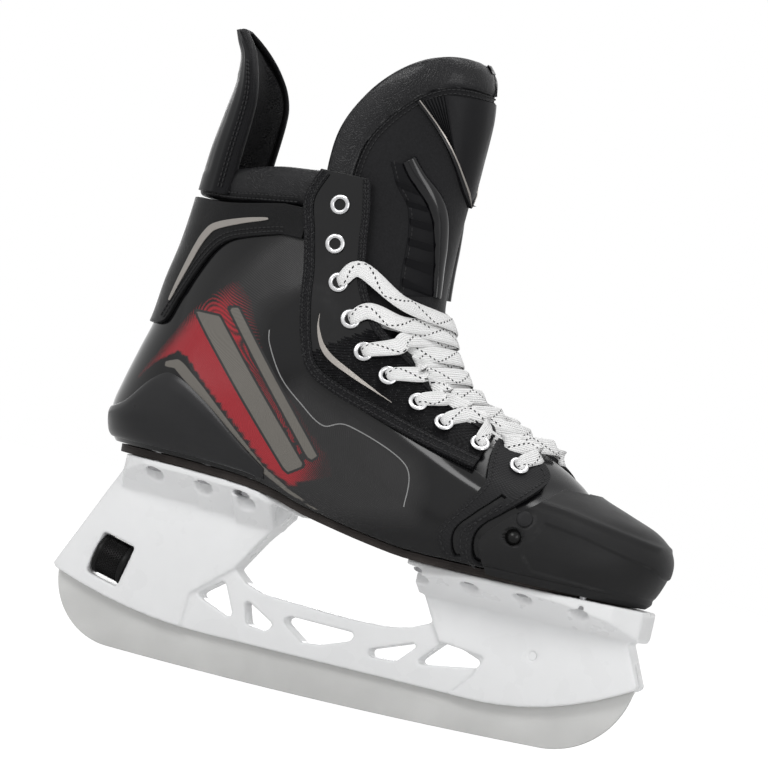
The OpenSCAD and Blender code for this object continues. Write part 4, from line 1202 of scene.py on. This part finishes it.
def tongueInserts():
    gloss = plastic("insertGloss", (0.005, 0.005, 0.006), 0.14, grain=200, Coat_Weight=0.8,
                    Coat_Roughness=0.06)
    matte = plastic("insertMatte", (0.006, 0.006, 0.007), 0.5, grain=2000, depth=0.00005)
    for side in (-1, 1):
        end = endName(side)
        rows = between(lineOf(insertBack, 50), lineOf(insertFront, 50), side, steps(0, 1, 8), toNose)
        bar = slab("tongueInsert" + end, rows, outward(rows), -2.6,
                   lambda p, u, v: -1.6 + 1.9 * math.sqrt(max(0, math.sin(math.pi * u))), gloss, rim=0.3)
        onTongue(bar)
        if side < 0:
            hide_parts("tongue_insert")
        bed = between(lineOf(louvreBack, 40), lineOf(insertBack, 40), side, steps(0, 1, 8), toNose)
        onTongue(slab("tongueBed" + end, bed, outward(bed), -2.6, -1.9, matte, rim=0.3))
        for k in range(6):
            v0 = 0.14 + 0.145 * k
            fin = []
            for w in steps(0, 1, 5):
                fin.append([toNose(*(along(louvreBack, min(1, v0 + 0.055 * w)) * (1 - u)
                                     + along(insertBack, min(1, v0 + 0.10 + 0.06 * w)) * u), side)
                            for u in steps(0.06, 0.94, 10)])
            onTongue(slab("tongueLouvre%d%s" % (k + 1, end), fin, outward(fin), -2.2,
                          lambda p, u, v: -1.75 + 1.5 * (1 - u), matte, rim=0.25))
        edge = shifted(lineOf(louvreBack, 60), 1.5)
        points = [toNose(p[0], p[1], side, -2.0) for p in edge]
        normals = [skinOut(p[0], p[1], side) for p in edge]
        threadPlaces["threadTongue"] += sewLine(points, normals, 2.4)


tongue()
tongueBand()
tongueGuard()
tongueInserts()
print("tongue made")

# ---------- eyelets ----------
eyeletLook = {"hole": 5.2, "flange": 9.4, "lift": 3.05, "roll": 1.15, "depth": 3.0}
nickel = metal("eyeletNickel", (0.62, 0.62, 0.63), 0.2, grain=300)


def eyelets():
    look = eyeletLook
    ri, ro = look["hole"] / 2, look["flange"] / 2
    roll, depth = look["roll"], look["depth"]
    profile = [(ri, -depth), (ri, 0.2)]
    profile += [(ri + roll * (1 - math.cos(a)), 0.2 + math.sin(a)) for a in steps(0, math.pi, 10)[1:-1]]
    profile += [(ro, 0.0), (ri + 0.5, -0.1), (ri + 0.5, -depth)]
    rings = [oval(Vector((0, 0, h)), Vector((1, 0, 0)), Vector((0, 1, 0)), r, r, 36) for r, h in profile]
    shape = loft("eyeletShape", rings, None, closed=True)
    shape.hide_render = True
    fixNormals(shape)
    for side in (-1, 1):
        end = endName(side)
        places = [(onSkin(x, z, side, look["lift"]), Vector((0.3, 0, 1)), skinOut(x, z, side))
                  for x, z in eyes]
        obj = scatter("eyelets" + end, places, shape, nickel)
        piece(obj, rootBody, "eyelet_nickel", "eyelets_" + end.lower())
    bpy.data.objects.remove(shape)


def fixNormals(obj):
    shape = bmesh.new()
    shape.from_mesh(obj.data)
    bmesh.ops.recalc_face_normals(shape, faces=shape.faces)
    shape.to_mesh(obj.data)
    shape.free()


eyelets()
print("eyelets made")

# ---------- lace ----------
laceLook = {"width": 8.0, "sides": 12, "steps": 7, "up": (-0.55, 0, 0.83)}
crossZ = {3: 191, 4: 184, 5: 175, 6: 166.5, 7: 158.5, 8: 152, 9: 146}
laceNarrow, laceFlat, laceBunch = (4.4, 1.9), (8.4, 1.2), (6.6, 1.5)


def eyePoint(k, side, out):
    return onSkin(eyes[k][0], eyes[k][1], side, out)


def middlePoint(z, out):
    s = spl(frontLine, z + 1) - spl(frontLine, z - 1)
    x = spl(frontLine, z)
    return Vector((x, centreY(x), z)) + Vector((2, 0, -s)).normalized() * out


def edgePlace(k, share):
    eye = Vector(eyes[k])
    edge = Vector((76, 138)) if k == 9 else along(facingFront, (k + 0.6) / 10)
    return eye + (edge - eye) * share


def edgePoint(k, side, share, out):
    p = edgePlace(k, share)
    return onSkin(p[0], p[1], side, out)


def nosePoint(z, side, turn, out):
    xs, xf = spl(shoulderLine, z), spl(frontLine, z)
    return onSkin(xs + (xf - xs) * math.cos(math.radians(turn)), z, side, out)


def laceRise(k, side):
    turn = eyePoint(k, side, 4.9) + (edgePoint(k, side, 1, 4.9) - eyePoint(k, side, 4.9)) * 0.16
    return [(eyePoint(k, side, 0.4), laceNarrow), (turn, laceBunch),
            (edgePoint(k, side, 0.9, 4.2), laceFlat)]


def laceStrand(k, side):
    own, other = edgePlace(k, 1), edgePlace(k - 1, 1)
    over = 2.8 if side > 0 else 1
    return laceRise(k, side) + [
        (nosePoint(0.5 * crossZ[k] + 0.5 * own[1], side, 38, 2.6), laceFlat),
        (middlePoint(crossZ[k], over), laceFlat),
        (nosePoint(0.6 * crossZ[k] + 0.4 * other[1], -side, 32, 0.5), laceFlat),
        (edgePoint(k - 1, -side, 0.5, -0.85), laceBunch)]


def laceTop(side):
    far = laceRise(2, -side)[::-1] + [(eyePoint(2, -side, -1.4), laceNarrow)]
    return laceRise(3, side) + [(nosePoint(crossZ[3] - 5, side, 38, 2.8), laceFlat),
                                (middlePoint(crossZ[3], 2.8 if side > 0 else 1), laceFlat),
                                (nosePoint(crossZ[3] + 5, -side, 38, 2.8), laceFlat)] + far


def laceHalf(s):
    rise = laceRise(9, s)
    start = [rise[1], rise[0], (edgePoint(9, s, 0.6, -0.85), laceBunch),
             (nosePoint(crossZ[9] - 2, s, 38, 0.4), laceFlat),
             (middlePoint(crossZ[9], 2.4 if s > 0 else 0.5), laceFlat),
             (nosePoint(crossZ[9] + 2, -s, 38, 0.4), laceFlat), (edgePoint(8, -s, 0.5, -0.85), laceBunch)]
    for k, side in ((8, -s), (7, s), (6, -s), (5, s), (4, -s)):
        start += laceStrand(k, side)
    return start + laceTop(s)


def laceMaterial():
    mat, tree, bsdf = newMaterial("laceWhite", 0.8, Sheen_Weight=0.15)
    parts = node(tree, "SeparateXYZ", {0: uvCoords(tree)})
    u, v = parts.outputs[0], parts.outputs[1]
    cords = sineOf(tree, v, 0.95)
    slant = calc(tree, "MULTIPLY_ADD", v, 3.4, calc(tree, "MULTIPLY", u, 2 * math.pi / 1.3))
    twist = calc(tree, "SINE", slant)
    height = calc(tree, "MULTIPLY_ADD", twist, 0.4, cords)
    surface(tree, bsdf, (0.93, 0.93, 0.925), 0.03, 0.7, 0.9, height, 0.00012, objectCoords(tree), patch=200)
    # painted shade: the grooves between the cords and the twist, where the height is low, are darkened to
    # grey
    overlay(tree, bsdf, ramp(tree, height, -1.3, -0.2, 0.3, 0), (0.55, 0.55, 0.56, 1))
    # one dark tracer thread that crosses the lace from edge to edge
    swing = calc(tree, "PINGPONG", u, 15)
    line = calc(tree, "SUBTRACT", v, calc(tree, "MULTIPLY_ADD", swing, 0.43, 0.75))
    near = calc(tree, "LESS_THAN", calc(tree, "ABSOLUTE", line), 0.4)
    dash = calc(tree, "GREATER_THAN", sineOf(tree, u, 2.3), 0.15)
    overlay(tree, bsdf, calc(tree, "MULTIPLY", near, dash), (0.03, 0.03, 0.032, 1))
    return mat


def lace():
    look = laceLook
    bar = [laceRise(9, -1)[2], (nosePoint(140, -1, 38, 3.4), laceFlat), (middlePoint(141, 4.6), laceFlat),
           (nosePoint(140, 1, 38, 3.4), laceFlat), laceRise(9, 1)[2]]
    route = laceHalf(-1)[::-1] + bar + laceHalf(1)
    fine = []
    for k in range(len(route) - 1):
        p = [route[max(0, min(len(route) - 1, k + d))] for d in (-1, 0, 1, 2)]
        for q in range(look["steps"]):
            u = q / look["steps"]
            size = [p[1][1][m] + (p[2][1][m] - p[1][1][m]) * u for m in (0, 1)]
            fine.append((catmull([r[0] for r in p], u), size))
    fine.append(route[-1])
    n, rings, lengths = look["sides"], [], [0.0]
    upwards = Vector(look["up"])
    for k, (p, size) in enumerate(fine):
        t = (fine[min(k + 1, len(fine) - 1)][0] - fine[max(k - 1, 0)][0]).normalized()
        side = (upwards - t * upwards.dot(t)).normalized()
        out = t.cross(side)
        ring = []
        for q in range(n):
            a = 2 * math.pi * q / n
            c, s = math.cos(a), math.sin(a)
            ring.append(p + side * size[0] / 2 * math.copysign(abs(c) ** 0.8, c)
                        + out * size[1] / 2 * math.copysign(abs(s) ** 0.55, s))
        rings.append(ring)
        if k:
            lengths.append(lengths[-1] + (p - fine[k - 1][0]).length)
    obj = loft("lace", rings, laceMaterial())
    fixNormals(obj)
    uv = obj.data.uv_layers.new(name="cloth")
    for poly in obj.data.polygons:
        for li in poly.loop_indices:
            vertex = obj.data.loops[li].vertex_index
            a = 2 * math.pi * (vertex % n) / n
            uv.data[li].uv = (lengths[vertex // n], (math.cos(a) + 1) * look["width"] / 2)
    piece(obj, rootBody, "lace_cotton", "lace")
    print("lace is", round(lengths[-1]), "mm long")


lace()

# ---------- blade holder: the CAD shape, its sharp edges rounded ----------
holderLook = {"color": (0.84, 0.845, 0.85), "voxel": 0.9, "softenings": 5, "weld": 0.00001}


def holder():
    look = holderLook
    mesh = nodes["holder"].data.copy()
    shape = bmesh.new()
    shape.from_mesh(mesh)
    bmesh.ops.remove_doubles(shape, verts=shape.verts, dist=look["weld"])
    shape.to_mesh(mesh)
    shape.free()
    mesh.materials.clear()
    obj = newObject("holder", mesh, plastic("holderWhite", look["color"], 0.28, grain=500, depth=0.00003,
                                            spread=0.015, Coat_Weight=0.3, Coat_Roughness=0.15))
    remesh = obj.modifiers.new("fillet", "REMESH")
    remesh.mode = "VOXEL"
    remesh.voxel_size = look["voxel"] * mm
    smooth = obj.modifiers.new("soften", "SMOOTH")
    smooth.iterations = look["softenings"]
    smooth.factor = 0.5
    apply(obj)
    obj.data.shade_smooth()
    piece(obj, rootBody, "holder_plastic", "holder")


holder()
print("holder made")

# ---------- steel runner ----------
runnerLook = {"thick": 3.0, "rocker": 3000, "lowest": -45, "heel": 34, "toe": 42, "back": -154,
              "front": 144, "grip": 4.6, "edge": 0.35}


def holderLow(x):
    return 18.5 + max(0, -70 - x) ** 2 / 480 + max(0, x - 68) ** 2 / 262


def steelMaterial():
    mat, tree, bsdf = newMaterial("runnerSteel", 0.34, Metallic=0.45)
    xyz = objectCoords(tree)
    stretched = node(tree, "Mapping", {"Vector": xyz, "Scale": (1, 1, 26)}).outputs[0]
    grind = node(tree, "TexNoise", {"Vector": stretched, "Scale": 60, "Detail": 8}).outputs[0]
    surface(tree, bsdf, (0.60, 0.60, 0.59), 0.05, 0.32, 0.46, grind, 0.00002, xyz, patch=35)
    return mat


def runner():
    look = runnerLook
    rocker = lambda x: look["rocker"] - math.sqrt(look["rocker"] ** 2 - (x - look["lowest"]) ** 2)
    heelX, toeX = look["back"] + look["heel"], look["front"] - look["toe"]
    corner = lambda x, r, angles: [(x + r * math.cos(math.radians(a)),
                                    r + rocker(x) + r * math.sin(math.radians(a))) for a in angles]
    line = corner(heelX, look["heel"], steps(188, 268, 24))
    line += [(x, rocker(x)) for x in steps(heelX + 3, toeX - 3, 60)]
    line += corner(toeX, look["toe"], steps(272, 350, 26))
    line += [(look["front"], holderLow(look["front"]) - 0.6)]
    line += [(x, holderLow(x) + look["grip"]) for x in steps(look["front"] - 3, look["back"] + 3, 60)]
    line += [(look["back"], holderLow(look["back"]) - 1)]
    n, t = len(line), look["thick"] / 2
    points = [(x, -t, z) for x, z in line] + [(x, t, z) for x, z in line]
    faces = [list(range(n)), list(range(2 * n - 1, n - 1, -1))]
    faces += [[k, n + k, n + (k + 1) % n, (k + 1) % n] for k in range(n)]
    obj = meshFrom("runner", points, faces, steelMaterial())
    fixNormals(obj)
    roundEdges(obj, look["edge"], 2)
    piece(obj, "runner", "runner_steel", "runner")


runner()
print("runner made")

# ---------- blade lock and small hardware ----------
wheelLook = {"radius": 10.0, "length": 16.6, "bore": 3.1, "edge": 0.25, "tilt": 13, "at": (-126.5, 0, 43.3),
             "around": 40, "rows": 10, "inset": 3.4, "studSize": 1.25}


def lockWheel():
    look = wheelLook
    axis = Vector((math.cos(math.radians(look["tilt"])), 0, -math.sin(math.radians(look["tilt"]))))
    centre = Vector(look["at"])
    a1 = Vector((0, 1, 0))
    a2 = axis.cross(a1)
    h, r = look["length"] / 2, look["radius"]
    lip = [(look["bore"], 0), (r - 0.9, 0), (r - 0.1, 0.5), (r, 1.2), (r, 2.2), (r - 0.9, 2.8)]
    profile = [(q, x - h) for q, x in lip] + [(q, h - x) for q, x in lip[::-1]]
    rings = [oval(centre + axis * x, a1, a2, q, q, 64) for q, x in profile]
    mat = plastic("wheelRubber", (0.010, 0.010, 0.010), 0.36, grain=1200, depth=0.00004)
    wheel = loft("lockWheel", rings, mat, closed=True)
    fixNormals(wheel)
    roundEdges(wheel, look["edge"], 2, 40, False)
    piece(wheel, "lock_wheel", "wheel_plastic", "lock_wheel")
    stud = meshFrom("knurlShape", [(-0.55, 0, 0), (0, -0.62, 0), (0.55, 0, 0), (0, 0.62, 0), (0, 0, 0.62)],
                    [[0, 1, 4], [1, 2, 4], [2, 3, 4], [3, 0, 4], [3, 2, 1, 0]], smooth=False)
    stud.hide_render = True
    places = []
    for j in range(look["rows"]):
        x = (h - look["inset"]) * (2 * j / (look["rows"] - 1) - 1)
        for k in range(look["around"]):
            w = 2 * math.pi * (k + 0.5 * (j % 2)) / look["around"]
            out = a1 * math.cos(w) + a2 * math.sin(w)
            places.append((centre + axis * x + out * (r - 0.95), axis, out))
    knurl = scatter("lockWheelKnurl", places, stud, mat, look["studSize"])
    bpy.data.objects.remove(stud)
    piece(knurl, "lock_wheel", "wheel_plastic")


lockWheel()
pinSteel = metal("pinSteel", (0.42, 0.42, 0.42), 0.34, grain=500)
rivetMetal = metal("rivetMetal", (0.33, 0.33, 0.34), 0.32, grain=500)
washerMetal = metal("washerMetal", (0.55, 0.55, 0.55), 0.3, grain=500)
pinCoated = plastic("pinCoated", holderLook["color"], 0.28)
hardware = {"lock_bolt": pinSteel, "lock_washers": pinSteel, "rivets_rear": rivetMetal,
            "rivets_front": rivetMetal, "rivet_washers": washerMetal, "front_pin": pinCoated}
for name, mat in hardware.items():
    part = nodes[name]
    if not part.material_slots:
        part.data.materials.append(mat)
    for place in part.material_slots:
        place.material = mat

# ---------- thread ----------
threadShape = stitchShape(1.9, 0.75)
threadBlack = plastic("threadBlack", (0.03, 0.03, 0.031), 0.5, grain=2500, depth=0.0001)
sewnNames = {"thread": (rootBody, "facing_leather"), "threadGuard": ("tendon_guard", "guard_plastic")}
for name, (body, slotName) in sewnNames.items():
    piece(scatter(name, threadPlaces[name], threadShape, threadBlack), body, slotName)
onTongue(scatter("threadTongue", threadPlaces["threadTongue"], threadShape, threadBlack))
bpy.data.objects.remove(threadShape)
print("stitches:", sum(len(p) for p in threadPlaces.values()))

{"cad": cadBox, "visual": [list(corner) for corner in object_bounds()]}
